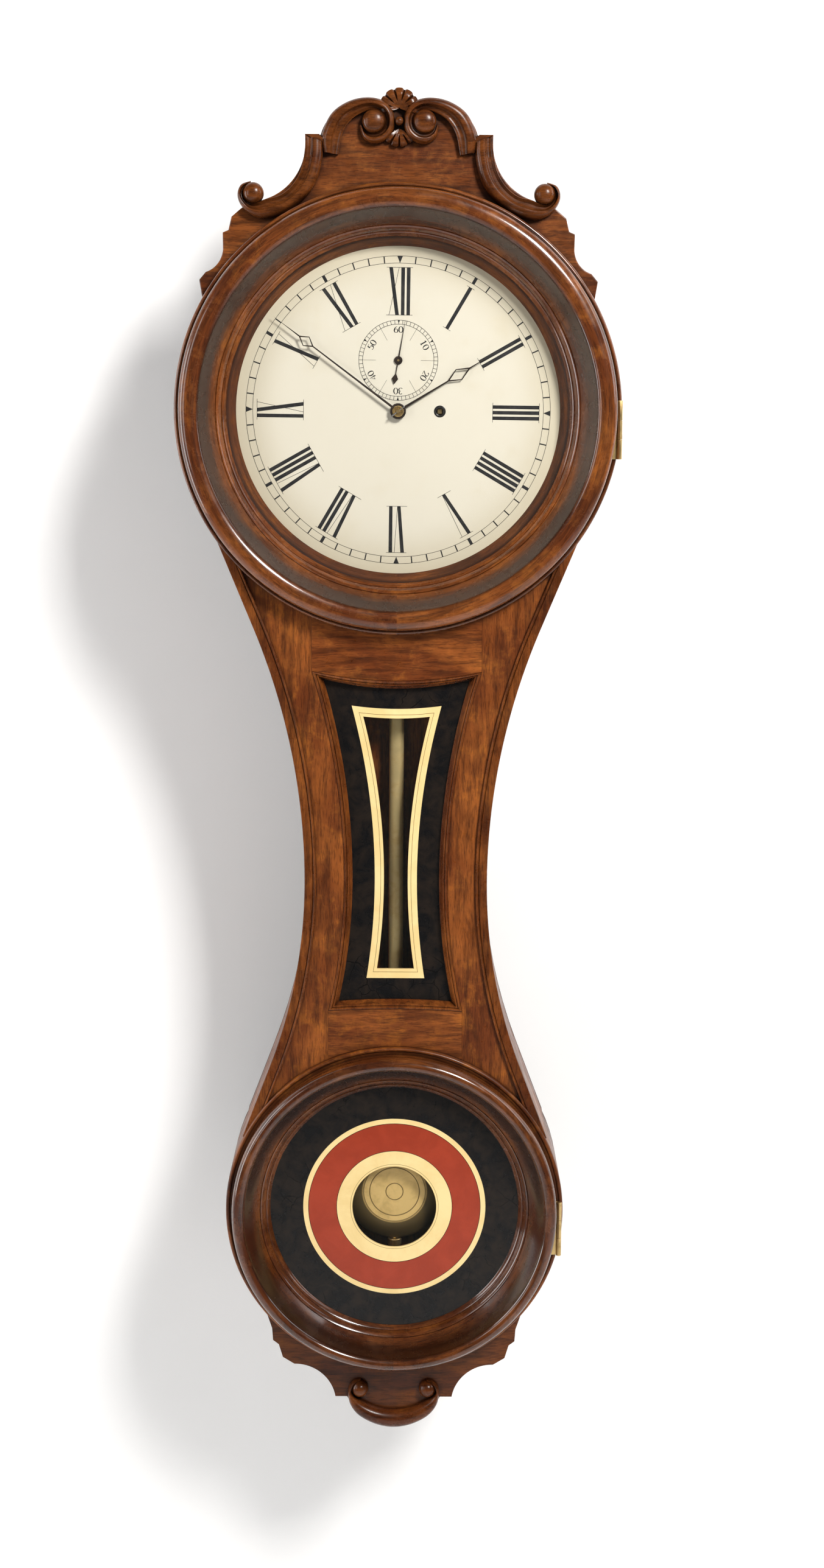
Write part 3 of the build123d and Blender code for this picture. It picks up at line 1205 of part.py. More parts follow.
def build():
    """Write every sub-part of the clock."""
    save("backboard", backboard())
    save("hanger_plate", hanger_plate())
    save("upper_hoop", upper_hoop())
    save("lower_hoop", lower_hoop())
    save("upper_front_ring", front_ring(CENTRE, UPPER_RADIUS, UPPER_BEZEL_RADIUS, UPPER_LEDGE_RADIUS))
    save("lower_front_ring", front_ring(LOWER, LOWER_RADIUS, LOWER_BEZEL_RADIUS, LOWER_LEDGE_RADIUS))
    save("throat_sides", throat_sides())
    save("side_mouldings", side_mouldings())
    top_rail, bottom_rail, stiles = throat_front()
    save("top_rail", top_rail)
    save("bottom_rail", bottom_rail)
    save("throat_stiles", stiles)
    save("throat_beading", throat_beading())
    save("throat_glass", throat_glass())
    save("crest_board", crest_board())
    save("centre_scrolls", centre_scrolls())
    save("shoulder_scrolls", shoulder_scrolls())
    save("crest_shell", crest_shell())
    save("base_board", base_board())
    save("base_crescent", base_crescent())
    save("baffle_board", baffle_board())
    save("sight_ring", sight_ring())
    save("dial_plate", dial_plate())
    save("dial_buttons", dial_buttons())
    save("winding_grommet", winding_grommet())
    upper_case_leaf, upper_door_leaf = hinge(CENTRE, UPPER_BEZEL_RADIUS)
    lower_case_leaf, lower_door_leaf = hinge(LOWER, LOWER_BEZEL_RADIUS)
    save("case_hinge_leaves", Compound([upper_case_leaf, lower_case_leaf]))
    save("upper_door_hinge_leaf", upper_door_leaf)
    save("lower_door_hinge_leaf", lower_door_leaf)
    upper_rims = (UPPER_BEZEL_RADIUS, UPPER_CREASE_RADIUS, UPPER_LEDGE_RADIUS, UPPER_SIGHT_RADIUS)
    lower_rims = (LOWER_BEZEL_RADIUS, LOWER_CREASE_RADIUS, LOWER_LEDGE_RADIUS, LOWER_SIGHT_RADIUS)
    save("upper_bezel", bezel(CENTRE, *upper_rims))
    save("lower_bezel", bezel(LOWER, *lower_rims))
    save("upper_glass", door_glass(CENTRE, UPPER_SIGHT_RADIUS))
    save("lower_glass", door_glass(LOWER, LOWER_SIGHT_RADIUS))
    save("upper_glass_points", glazing_points(CENTRE, UPPER_SIGHT_RADIUS))
    save("lower_glass_points", glazing_points(LOWER, LOWER_SIGHT_RADIUS))
    save("movement_brackets", movement_brackets())
    save("back_plate", plate(-BACK_PLATE_BACK, PIVOTS))
    save("front_plate", front_plate())
    save("plate_pillars", plate_pillars())
    save("suspension_bracket", suspension_bracket())
    save("suspension_spring", suspension_spring())
    save("centre_wheel", centre_wheel())
    save("third_wheel", third_wheel())
    save("escape_wheel", escape_wheel())
    save("great_wheel", great_wheel())
    save("click", click())
    save("winding_drum", winding_drum())
    save("cannon_pinion", cannon_pinion())
    save("minute_wheel", minute_wheel())
    save("hour_wheel", hour_wheel())
    save("hour_hand", hour_hand())
    save("minute_hand", minute_hand())
    save("seconds_hand", seconds_hand())
    save("collet", collet())
    save("verge", verge())
    save("keystone_loop", keystone_loop())
    save("pendulum_rod", pendulum_rod())
    save("bob", bob())
    save("rating_nut", rating_nut())
    save("weight", weight())
    save("weight_pulley", weight_pulley())
    save("weight_line", weight_line())


os.makedirs("parts", exist_ok=True)
build()
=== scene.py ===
import math

import bmesh
import bpy
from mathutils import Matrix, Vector


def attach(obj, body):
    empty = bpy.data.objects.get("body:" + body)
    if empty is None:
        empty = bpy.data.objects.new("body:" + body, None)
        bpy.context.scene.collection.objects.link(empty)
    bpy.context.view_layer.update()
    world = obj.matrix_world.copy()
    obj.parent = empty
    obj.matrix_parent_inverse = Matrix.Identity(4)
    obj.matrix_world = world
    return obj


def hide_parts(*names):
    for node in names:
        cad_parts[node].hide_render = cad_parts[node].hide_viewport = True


# Looks of a figure eight wall clock. Lengths are in millimetres here, and piece() makes them metres.
MM = 0.001
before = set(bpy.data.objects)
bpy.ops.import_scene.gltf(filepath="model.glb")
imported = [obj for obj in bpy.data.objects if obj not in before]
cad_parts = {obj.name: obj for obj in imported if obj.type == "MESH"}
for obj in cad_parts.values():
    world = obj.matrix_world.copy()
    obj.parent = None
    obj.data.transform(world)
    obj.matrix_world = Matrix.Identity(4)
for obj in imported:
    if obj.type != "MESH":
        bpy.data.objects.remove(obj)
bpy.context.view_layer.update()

# Case, as seen from the front
UPPER = (0.0, 0.0)
LOWER = (0.0, -878.0)
UPPER_RADIUS = 236.5
LOWER_RADIUS = 187.0
HOOP_WALL = 12.0
PASSAGE_HALF = 84.0
BACK = -14.0
CASE_FRONT = -104.0
PANEL_FRONT = -118.0
RING_FRONT = -124.0
STRIP_FRONT = -121.0
WAIST_HALF = 99.2
WAIST_DROP = 505.0
UPPER_SWEEP = (720.0, 275.0)
LOWER_SWEEP = (585.0, 208.0)
THROAT_HEAD = 60.0
THROAT_FOOT = 794.0
STRIP_WIDTH = 12.6
BEADING_INSET = 43.0
OPENING_TOP = 276.6
OPENING_TOP_SAG = 10.0
OPENING_BOTTOM = 651.0
OPENING_BOTTOM_RISE = 2.5
TABLET_BACK = -105.1
TABLET_FRONT = -107.7
TABLET_PLAY = 0.4
SIGHT_FRONT = -102.2
UPPER_RING_BORE = 200.5
LOWER_RING_BORE = 156.7

# Doors, with the radii of rim, crease, ledge and sight
UPPER_DOOR = (230.5, 210.0, 193.0, 182.0)
LOWER_DOOR = (179.4, 166.0, 149.2, 138.2)
UPPER_PANE_RADIUS = 185.6
WINDOW_RADIUS = 46.8
DOOR_BACK = -124.4
CROWN_START = -138.3
CROWN_RISE = 9.0
CREASE_Y = -143.8
LEDGE_Y = -119.2
GLASS_FRONT = -108.2
GLASS_BACK = -105.8
FLANGE_BACK = -102.8
FLANGE = 6.0
REBATE = 4.0
STEP_BEAD = ((0.06, 1.1), (0.16, 1.5), (0.34, 1.3), (0.5, 0.3))
GLASS_BEAD = ((0.56, 0.0), (0.62, 0.9), (0.74, 1.3), (0.88, 0.6))

# Dial print, in the plane of the dial
DIAL_FRONT = -88.2
INK_FRONT = -88.26
DIAL_LEAN = 0.5
DIAL_SIGHT = 173.0
HAIR = 0.46
MINUTE_OUTER = 162.5
MINUTE_INNER = 155.2
NUMERAL_OUTER = 150.6
NUMERAL_INNER = 101.0
SECONDS = (0.0, 53.6)
SECONDS_OUTER = 42.1
SECONDS_INNER = 37.9
SECONDS_LINE = 0.5
SECONDS_RAY = 0.3
SECONDS_RAY_INNER = 24.0
DIGIT_FOOT = 29.0
DIGIT_HEIGHT = 6.6
DIGIT_PITCH = 0.78
MINUTE_WIDTH = 1.3
HOUR_MARK_WIDTH = 3.3
QUARTER_MARK_WIDTH = 6.0
THICK = 3.9
STROKE_GAP = 2.0
CROSS_WIDTH = 10.8
SERIF_REACH = 2.6
WINDING_HOLE = (44.6, 0.0)

# Pendulum
BOB_CENTRE = -867.0
PENDULUM_PLANE = -74.5
BOB_HALF = 14.0
BOB_RADIUS = 57.5
BOB_FLAT = 36.2
BOB_LINES = (9.6, 27.9, 34.6)
ROD_HALF = 8.0
ROD_HALF_DEPTH = 4.5
SCREW_RADIUS = 2.4

# Carving
CREST_FRONT = -106.0
SINK = 0.4

# Stage, with the world's light on the clock and its brightness behind it
WALL = 110.0
FLOOR = -1900.0
BEND = 500.0
STAGE_HALF = 4500.0
STAGE_FRONT = -3500.0
STAGE_TOP = 3000.0
WORLD_LIGHT = 0.1
WORLD_SEEN = 0.95

# Camera of the photograph
CAMERA_PLACE = (0.0171, -2.745, 0.020)
CAMERA_PITCH = 9.05
CAMERA_ROLL = 0.32
CAMERA_LENS = 56.45

SEGMENTS = 220
WELD = 2e-6


# Meshes
def piece(name, verts, faces, material, body, slot, replaces=(), sharp=35):
    """A mesh from millimetre points, smooth apart from its sharp edges, that rides on a body."""
    mesh = bpy.data.meshes.new(name)
    mesh.from_pydata([tuple(c * MM for c in v) for v in verts], [], faces)
    work = bmesh.new()
    work.from_mesh(mesh)
    bmesh.ops.remove_doubles(work, verts=work.verts, dist=WELD)
    bmesh.ops.recalc_face_normals(work, faces=work.faces)
    work.to_mesh(mesh)
    work.free()
    mesh.validate()
    mesh.shade_smooth()
    mesh.set_sharp_from_angle(angle=math.radians(sharp))
    mesh.materials.append(material)
    obj = bpy.data.objects.new(name, mesh)
    bpy.context.scene.collection.objects.link(obj)
    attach(obj, body)
    if replaces:
        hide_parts(*replaces)


def rows_mesh(rows, closed=False):
    """Points and faces of a run of equal sections; an open run gets both its ends."""
    count, width = len(rows), len(rows[0])
    faces = []
    for i in range(count if closed else count - 1):
        low = i * width
        high = ((i + 1) % count) * width
        for j in range(width):
            k = (j + 1) % width
            faces.append((low + j, low + k, high + k, high + j))
    if not closed:
        faces.append(tuple(range(width)))
        faces.append(tuple(range((count - 1) * width, count * width)))
    return [point for row in rows for point in row], faces


def turned_mesh(centre, profile, start=0.0, turn=360.0, segments=SEGMENTS):
    """A (radius, depth) profile turned clockwise from twelve o'clock."""
    closed = turn >= 360.0
    rows = []
    for i in range(segments if closed else segments + 1):
        angle = math.radians(start + turn * i / segments)
        across, up = math.sin(angle), math.cos(angle)
        rows.append([(centre[0] + r * across, y, centre[1] + r * up) for r, y in profile])
    return rows_mesh(rows, closed)


def turned(name, centre, profile, material, body, slot, replaces=(), sharp=35, **options):
    """A turned ring or disc."""
    piece(name, *turned_mesh(centre, profile, **options), material, body, slot, replaces, sharp)


def joined(parts):
    """Several (verts, faces) as one."""
    verts, faces = [], []
    for more_verts, more_faces in parts:
        shift = len(verts)
        verts += more_verts
        faces += [tuple(shift + i for i in face) for face in more_faces]
    return verts, faces


def prism(outline, back, front):
    """A flat outline of (x, z) points made solid."""
    count = len(outline)
    verts = [(x, back, z) for x, z in outline] + [(x, front, z) for x, z in outline]
    faces = [tuple(range(count)), tuple(range(count, 2 * count))]
    faces += [(i, (i + 1) % count, count + (i + 1) % count, count + i) for i in range(count)]
    return verts, faces


def both_sides(part):
    """A mesh of the right side, and the same on the left."""
    verts, faces = part
    return joined([part, ([(-x, y, z) for x, y, z in verts], faces)])


def spaced(low, high, count):
    """Evenly spaced values, both ends included."""
    return [low + (high - low) * i / (count - 1) for i in range(count)]


# Throat outline
def sweep_end(inset, upper):
    """Where a side curve ends, and how far its tangent leans from upright."""
    radius, reach = UPPER_SWEEP if upper else LOWER_SWEEP
    lean = math.asin(reach / radius)
    x = WAIST_HALF + radius - (radius + inset) * math.cos(lean)
    return x, (radius + inset) * math.sin(lean), lean


def throat_half(drop, inset):
    """Half width of the throat at a height below the hands."""
    upper = drop < WAIST_DROP
    radius = UPPER_SWEEP[0] if upper else LOWER_SWEEP[0]
    x, rise, lean = sweep_end(inset, upper)
    away = abs(drop - WAIST_DROP)
    if away > rise:
        return x + (away - rise) * math.tan(lean)
    return WAIST_HALF + radius - math.sqrt((radius + inset) ** 2 - away**2)


def stile_x(drop, share):
    """Across a stile: 0 at the window and the rail ends, 1 at the raised strip."""
    inner = throat_half(min(max(drop, OPENING_TOP), OPENING_BOTTOM), BEADING_INSET)
    return inner + (throat_half(drop, STRIP_WIDTH) - inner) * share


def meeting(line, place, centre_drop, radius, inside):
    """Drop at which a side line runs under a round compartment."""
    outside = WAIST_DROP
    for _ in range(40):
        middle = (inside + outside) / 2
        if math.hypot(line(middle, place), middle - centre_drop) < radius:
            inside = middle
        else:
            outside = middle
    return inside


def side_mesh(profile, line=throat_half, count=90):
    """A (place, depth) profile down both sides of the throat, between the round compartments."""
    ends = []
    for place, _ in profile:
        top = meeting(line, place, 0.0, UPPER_RADIUS, THROAT_HEAD)
        ends.append((top, meeting(line, place, -LOWER[1], LOWER_RADIUS, THROAT_FOOT)))
    rows = []
    for share in spaced(0.0, 1.0, count):
        row = []
        for (place, y), (top, foot) in zip(profile, ends):
            drop = top + (foot - top) * share
            row.append((line(drop, place), y, -drop))
        rows.append(row)
    return both_sides(rows_mesh(rows))


def window_loop(inset, grow=0.0, across=25, down=61):
    """Points round the throat window: head, right side, foot, left side."""
    top, foot = OPENING_TOP + grow, OPENING_BOTTOM - grow
    wide, narrow = throat_half(top, inset), throat_half(foot, inset)
    loop = [(x, -top - OPENING_TOP_SAG * (1 - (x / wide) ** 2)) for x in spaced(-wide, wide, across)]
    loop += [(throat_half(d, inset), -d) for d in spaced(top, foot, down)[1:]]
    sill = spaced(narrow, -narrow, across)[1:]
    loop += [(x, -foot + OPENING_BOTTOM_RISE * (1 - (x / narrow) ** 2)) for x in sill]
    loop += [(-throat_half(d, inset), -d) for d in spaced(foot, top, down)[1:-1]]
    return loop


def border_loop(share, across=25, down=61):
    """Points round the gilt border of the throat glass, from its outer edge (0) to its inner edge (1)."""
    top = -314.6 - 11.8 * share
    foot = -616.3 + 10.6 * share
    sag = 3.4 - 1.4 * share
    waist = 23.0 - 10.0 * share
    flare = 0.000705 + 0.00002 * share

    def half(z):
        return waist + flare * (z + WAIST_DROP) ** 2

    loop = [(x, top - sag * (1 - (x / half(top)) ** 2)) for x in spaced(-half(top), half(top), across)]
    loop += [(half(z), z) for z in spaced(top, foot, down)[1:]]
    loop += [(x, foot) for x in spaced(half(foot), -half(foot), across)[1:]]
    loop += [(-half(z), z) for z in spaced(foot, top, down)[1:-1]]
    return loop


def framed(outer, inner):
    """A flat frame of the throat glass between two loops of equal count."""
    rows = []
    for (ax, az), (bx, bz) in zip(outer, inner):
        outside = [(ax, TABLET_BACK, az), (ax, TABLET_FRONT, az)]
        rows.append(outside + [(bx, TABLET_FRONT, bz), (bx, TABLET_BACK, bz)])
    return rows_mesh(rows, True)


# Materials
class Shader:
    """Short calls for a material's node tree."""

    def __init__(self, name):
        self.material = bpy.data.materials.new(name)
        self.material.use_nodes = True
        self.tree = self.material.node_tree
        self.shader = self.tree.nodes["Principled BSDF"]

    def node(self, kind, settings=None, **sockets):
        made = self.tree.nodes.new(kind)
        for key, value in (settings or {}).items():
            setattr(made, key, value)
        for key, value in sockets.items():
            self.put(made.inputs[key.replace("_", " ")], value)
        return made

    def put(self, socket, value):
        if isinstance(value, bpy.types.NodeSocket):
            self.tree.links.new(value, socket)
        else:
            socket.default_value = value

    def reach(self, place, centre=0.0):
        """Distance from an axis along Y, with the coordinates it came from."""
        xyz = self.node("ShaderNodeSeparateXYZ", Vector=place).outputs
        up = self.maths("SUBTRACT", xyz[2], centre * MM)
        squares = self.maths("ADD", self.maths("MULTIPLY", xyz[0], xyz[0]), self.maths("MULTIPLY", up, up))
        return self.maths("SQRT", squares), xyz, up

    def maths(self, operation, a, b=0.0):
        made = self.tree.nodes.new("ShaderNodeMath")
        made.operation = operation
        self.put(made.inputs[0], a)
        self.put(made.inputs[1], b)
        return made.outputs[0]

    def place(self):
        return self.node("ShaderNodeTexCoord").outputs["Object"]

    def scaled(self, vector, scale, location=(0, 0, 0)):
        return self.node("ShaderNodeMapping", Vector=vector, Scale=scale, Location=location).outputs[0]

    def noise(self, vector, scale, detail=4.0, rough=0.55, distort=0.0):
        made = self.node("ShaderNodeTexNoise", Vector=vector, Scale=scale, Detail=detail)
        made.inputs["Roughness"].default_value = rough
        made.inputs["Distortion"].default_value = distort
        return made.outputs["Fac"]

    def ramp(self, value, low, high, first=0.0, last=1.0):
        made = self.node("ShaderNodeMapRange", {"interpolation_type": "SMOOTHSTEP"}, Value=value)
        made.inputs["From Min"].default_value = low
        made.inputs["From Max"].default_value = high
        made.inputs["To Min"].default_value = first
        made.inputs["To Max"].default_value = last
        return made.outputs[0]

    def mix(self, share, first, second, blend="MIX"):
        made = self.tree.nodes.new("ShaderNodeMix")
        made.data_type = "RGBA"
        made.blend_type = blend
        self.put(made.inputs[0], share)
        self.put(made.inputs[6], colour(first))
        self.put(made.inputs[7], colour(second))
        return made.outputs[2]

    def bump(self, height, strength, distance):
        made = self.node("ShaderNodeBump", Height=height, Strength=strength, Distance=distance)
        self.put(self.shader.inputs["Normal"], made.outputs[0])

    def set(self, **sockets):
        for key, value in sockets.items():
            self.put(self.shader.inputs[key.replace("_", " ")], value)
        return self.material


def colour(value):
    """An RGB triple as RGBA; sockets pass through."""
    return (*value, 1.0) if isinstance(value, tuple) and len(value) == 3 else value


WOOD_DARK = (0.018, 0.005, 0.002)
WOOD_MID = (0.125, 0.030, 0.007)
WOOD_LIGHT = (0.26, 0.074, 0.015)
WOOD_ORANGE = (0.44, 0.135, 0.012)
GRAIN = {"x": (0.11, 1.0, 1.0), "z": (1.0, 1.0, 0.11), "ring": (0.11, 1.0, 1.0)}
RING_RADIUS = 0.2
# Reach of the painted shade in corners, in metres.
CORNER_SHADE_REACH = 0.011


def wood(
    name,
    grain,
    centre=0.0,
    tone=1.0,
    orange=0.35,
    wear=0.35,
    gloss=0.34,
    shift=0.0,
    coat=0.07,
    crease=None,
):
    """French polished mahogany: long streaks, worn orange patches, dark specks and painted shade in
    corners.
    """
    s = Shader(name)
    place = board = s.place()
    if grain == "ring":
        radius, xyz, up = s.reach(place, centre)
        angle = s.maths("MULTIPLY", s.maths("ARCTAN2", xyz[0], up), RING_RADIUS)
        board = s.node("ShaderNodeCombineXYZ", X=angle, Y=xyz[1], Z=radius).outputs[0]
    stretch = GRAIN[grain]
    along = s.scaled(board, stretch, (shift, shift * 0.7, shift * 0.3))
    patches = s.scaled(board, tuple(v**0.35 for v in stretch), (shift, 0, shift))
    broad = s.noise(patches, 17.0, 3.0, 0.5, 0.6)
    streak = s.noise(along, 150.0, 5.0, 0.6, 0.35)
    fine = s.noise(along, 900.0, 3.0, 0.6)
    specks = s.noise(place, 260.0, 3.0, 0.6)
    blotch = s.noise(place, 38.0, 6.0, 0.72, 0.3)
    dark, mid, light, warm = (
        tuple(c * tone for c in base) for base in (WOOD_DARK, WOOD_MID, WOOD_LIGHT, WOOD_ORANGE)
    )
    base = s.mix(s.ramp(broad, 0.34, 0.68), mid, light)
    base = s.mix(s.maths("MULTIPLY", s.ramp(blotch, 0.46, 0.72), orange), base, warm)
    base = s.mix(s.ramp(streak, 0.3, 0.62, 0.62, 0.0), base, dark)
    base = s.mix(s.ramp(fine, 0.36, 0.52, 0.45, 0.0), base, dark)
    base = s.mix(s.maths("MULTIPLY", s.ramp(specks, 0.66, 0.76), wear), base, dark)
    # Painted shade: occlusion darkens the wood in corners and recesses.
    corner = s.node("ShaderNodeAmbientOcclusion", {"samples": 6}, Distance=CORNER_SHADE_REACH).outputs["AO"]
    base = s.mix(s.ramp(corner, 0.35, 0.85, 0.85, 0.0), base, dark)
    # Painted shade: a dark band in the hollow of the bezel, just inside its crease.
    if crease:
        hollow_shade = s.ramp(radius, (crease - 17) * MM, (crease - 6) * MM, 0.0, 0.85)
        inside = s.ramp(radius, (crease - 1) * MM, (crease + 3) * MM, 1.0, 0.0)
        base = s.mix(s.maths("MULTIPLY", hollow_shade, inside), base, dark)
    s.bump(s.maths("ADD", s.maths("MULTIPLY", fine, 0.5), blotch), 0.1, 0.0006)
    rough = s.ramp(blotch, 0.3, 0.75, gloss - 0.07, gloss + 0.16)
    s.set(Base_Color=base, Roughness=rough, Specular_IOR_Level=0.22)
    return s.set(Coat_Weight=coat, Coat_Roughness=0.11)


def metal(name, tint, tarnish, rough=0.28, brushed=None, shine=1.0, rings=()):
    """Metal with a tarnish that gathers in clouds, and fine marks; rings are turned lines on the bob, and
    with them its tapered rim is painted dark as shade.
    """
    s = Shader(name)
    place = s.place()
    cloud = s.noise(place, 55.0, 6.0, 0.68, 0.4)
    marks = s.noise(s.scaled(place, brushed or (1.0, 1.0, 1.0)), 700.0, 3.0, 0.6)
    base = s.mix(s.ramp(cloud, 0.45, 0.72), tint, tarnish)
    base = s.mix(s.ramp(marks, 0.55, 0.75, 0.0, 0.35), base, tarnish)
    if rings:
        reach = s.reach(place, BOB_CENTRE)[0]
        for radius in rings:
            away = s.maths("ABSOLUTE", s.maths("SUBTRACT", reach, radius * MM))
            base = s.mix(s.ramp(away, 0.0003, 0.0008, 0.75, 0.0), base, (0.12, 0.07, 0.02))
        # Painted shade: past the flat face the tapered rim of the bob is painted dark.
        base = s.mix(s.ramp(reach, 0.0352, 0.0375, 0.0, 0.88), base, (0.05, 0.034, 0.012))
    s.bump(marks, 0.1, 0.0004)
    return s.set(Base_Color=base, Metallic=shine, Roughness=s.ramp(cloud, 0.3, 0.8, rough, rough + 0.22))


def paint(name, base, other, rough, cracks=0.0, coat=0.3, scale=48.0, speckle=0.0):
    """Old paint with cloudy tone, specks and, where asked, wandering cracks."""
    s = Shader(name)
    place = s.place()
    cloud = s.noise(place, scale, 7.0, 0.68, 0.5)
    tone = s.mix(s.ramp(cloud, 0.36, 0.66), base, other)
    if cracks:
        bent = s.node("ShaderNodeTexNoise", Vector=place, Scale=60.0).outputs["Color"]
        shifted = s.mix(0.012, place, bent, "ADD")
        cells = s.node("ShaderNodeTexVoronoi", {"feature": "DISTANCE_TO_EDGE"}, Vector=shifted, Scale=42.0)
        line = s.ramp(cells.outputs["Distance"], 0.0, 0.03, cracks, 0.0)
        here = s.ramp(s.noise(place, 14.0, 3.0), 0.5, 0.62)
        tone = s.mix(s.maths("MULTIPLY", line, here), tone, (0.002, 0.002, 0.002))
    if speckle:
        spots = s.noise(place, 210.0, 6.0, 0.8)
        tone = s.mix(s.ramp(spots, 0.6, 0.7, 0.0, speckle), tone, (0.003, 0.003, 0.003))
    s.bump(cloud, 0.06, 0.0006)
    s.set(Base_Color=tone, Roughness=rough, Specular_IOR_Level=0.25)
    return s.set(Coat_Weight=coat, Coat_Roughness=0.12)


def aged_dial():
    """Cream paint, browner towards its edge, with faint stains and a fine tooth."""
    s = Shader("dial_cream")
    place = s.place()
    edge = s.ramp(s.reach(place)[0], 0.118, 0.178)
    stain = s.noise(place, 16.0, 6.0, 0.65)
    tooth = s.noise(place, 420.0, 3.0, 0.6)
    base = s.mix(s.maths("MULTIPLY", edge, 0.75), (0.84, 0.79, 0.65), (0.68, 0.60, 0.42))
    base = s.mix(s.ramp(stain, 0.5, 0.8, 0.0, 0.35), base, (0.72, 0.63, 0.43))
    base = s.mix(s.ramp(tooth, 0.6, 0.75, 0.0, 0.2), base, (0.60, 0.52, 0.36))
    s.bump(tooth, 0.08, 0.0003)
    return s.set(Base_Color=base, Roughness=0.46)


def clear_glass(name):
    """Thin old window glass."""
    s = Shader(name)
    waves = s.noise(s.place(), 30.0, 2.0, 0.5)
    s.material.surface_render_method = "BLENDED"
    rough = s.ramp(waves, 0.3, 0.7, 0.02, 0.05)
    tint = (0.05, 0.055, 0.05, 1.0)
    return s.set(Base_Color=tint, Roughness=rough, Alpha=0.05, Specular_IOR_Level=0.4)


case_wood = wood("case_mahogany", "z", shift=0.31)
# Painted shade: the backboard is darkened so the inside of the case looks dark.
shaded_inner_wood = wood("inner_board_painted_shade", "z", tone=0.3, orange=0.1, gloss=0.6, shift=0.35, coat=0.0)
rail_wood = wood("rail_mahogany", "x", tone=1.12, orange=0.45, shift=0.72)
stile_wood = wood("stile_mahogany", "z", tone=1.1, orange=0.5, wear=0.2, shift=0.15)
strip_wood = wood("strip_mahogany", "z", tone=0.82, wear=0.3, gloss=0.28, shift=0.55)
board_wood = wood("board_mahogany", "x", tone=0.9, orange=0.6, wear=0.45, gloss=0.36, shift=0.43)
base_wood = wood("base_mahogany", "x", tone=0.62, orange=0.25, wear=0.4, shift=0.83)
carved_wood = wood("carved_mahogany", "x", tone=0.6, orange=0.2, wear=0.3, gloss=0.27, shift=0.21)
upper_hoop_wood = wood("upper_hoop_mahogany", "ring", tone=0.8, shift=0.1)
lower_hoop_wood = wood("lower_hoop_mahogany", "ring", LOWER[1], tone=0.8, shift=0.4)
# Both door woods paint a dark band of shade in the bezel hollow.
upper_door_wood = wood("upper_door_mahogany", "ring", 0.0, 0.88, 0.5, 0.5, 0.24, 0.6, 0.6, UPPER_DOOR[1])
lower_door_wood = wood(
    "lower_door_mahogany", "ring", LOWER[1], 0.62, 0.3, 0.4, 0.22, 0.9, 0.7, LOWER_DOOR[1]
)
lower_ring_wood = wood("lower_ring_mahogany", "ring", LOWER[1], tone=0.85, orange=0.8, wear=0.9, shift=0.5)
sight_wood = wood("sight_mahogany", "ring", 0.0, 0.85, 0.3, 0.1, 0.5, 0.7, 0.0)
brass = metal("aged_brass", (0.78, 0.56, 0.25), (0.42, 0.27, 0.10))
bright_brass = metal("polished_brass", (0.86, 0.64, 0.29), (0.55, 0.36, 0.13), 0.2, (0.2, 1.0, 1.0))
bob_brass = metal(
    "bob_brass", (0.83, 0.58, 0.22), (0.66, 0.45, 0.16), 0.36, (0.2, 1.0, 1.0), 0.45, BOB_LINES
)
rod_gilt = metal("gilt_rod", (0.92, 0.72, 0.34), (0.78, 0.56, 0.24), 0.3, (1.0, 1.0, 0.04), 0.7)
steel = metal("polished_steel", (0.55, 0.55, 0.56), (0.26, 0.24, 0.22), 0.25, (1.0, 1.0, 0.2))
blued = paint("bronzed_steel", (0.042, 0.028, 0.021), (0.02, 0.014, 0.011), 0.36, coat=0.1, scale=120.0)
iron = paint("black_iron", (0.02, 0.02, 0.021), (0.045, 0.04, 0.036), 0.5, coat=0.1)
dark_paint = paint("black_eyelet", (0.012, 0.011, 0.01), (0.03, 0.028, 0.026), 0.32)
ink = paint("dial_ink", (0.016, 0.016, 0.018), (0.035, 0.033, 0.033), 0.5, coat=0.05, scale=90.0)
fine_ink = paint("dial_fine_ink", (0.03, 0.026, 0.022), (0.06, 0.05, 0.04), 0.5, coat=0.0, scale=90.0)
black_glass = paint(
    "black_glass_paint", (0.006, 0.006, 0.0065), (0.018, 0.013, 0.010), 0.22, 0.9, 0.0, speckle=0.9
)
red_glass = paint("red_glass_paint", (0.31, 0.033, 0.010), (0.37, 0.042, 0.014), 0.3, coat=0.35, scale=30.0)
gold_glass = paint("gold_glass_paint", (0.84, 0.62, 0.27), (0.92, 0.71, 0.34), 0.32, coat=0.35, scale=22.0)
line_paint = paint("brown_line_paint", (0.20, 0.12, 0.04), (0.28, 0.17, 0.06), 0.4)
dial_cream = aged_dial()
glass = clear_glass("window_glass")
gut = paint("twisted_gut", (0.42, 0.28, 0.12), (0.30, 0.19, 0.08), 0.55, scale=160.0)


def dress(material, *nodes):
    """Give CAD nodes their finish."""
    for name in nodes:
        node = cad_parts[name]
        node.data.materials.clear()
        node.data.materials.append(material)


def ease_edges(width, *nodes):
    """Rub down the sharp edges of CAD nodes."""
    for name in nodes:
        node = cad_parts[name]
        weld = node.modifiers.new("weld", "WELD")
        weld.merge_threshold = 1e-5
        bevel = node.modifiers.new("eased", "BEVEL")
        bevel.width = width * MM
        bevel.segments = 2
        bevel.limit_method = "ANGLE"
        bevel.angle_limit = math.radians(40)


# Case
def hoop(name, centre, radius, open_up, material):
    """Round rim, open where it meets the throat."""
    half = math.degrees(math.asin(PASSAGE_HALF / (radius - HOOP_WALL / 2)))
    start = half if open_up else 180 + half
    bore = radius - HOOP_WALL
    profile = [(bore, BACK), (radius, BACK), (radius, CASE_FRONT), (bore, CASE_FRONT)]
    turned(name, centre, profile, material, "case", "case_wood", (name,), start=start, turn=360 - 2 * half)


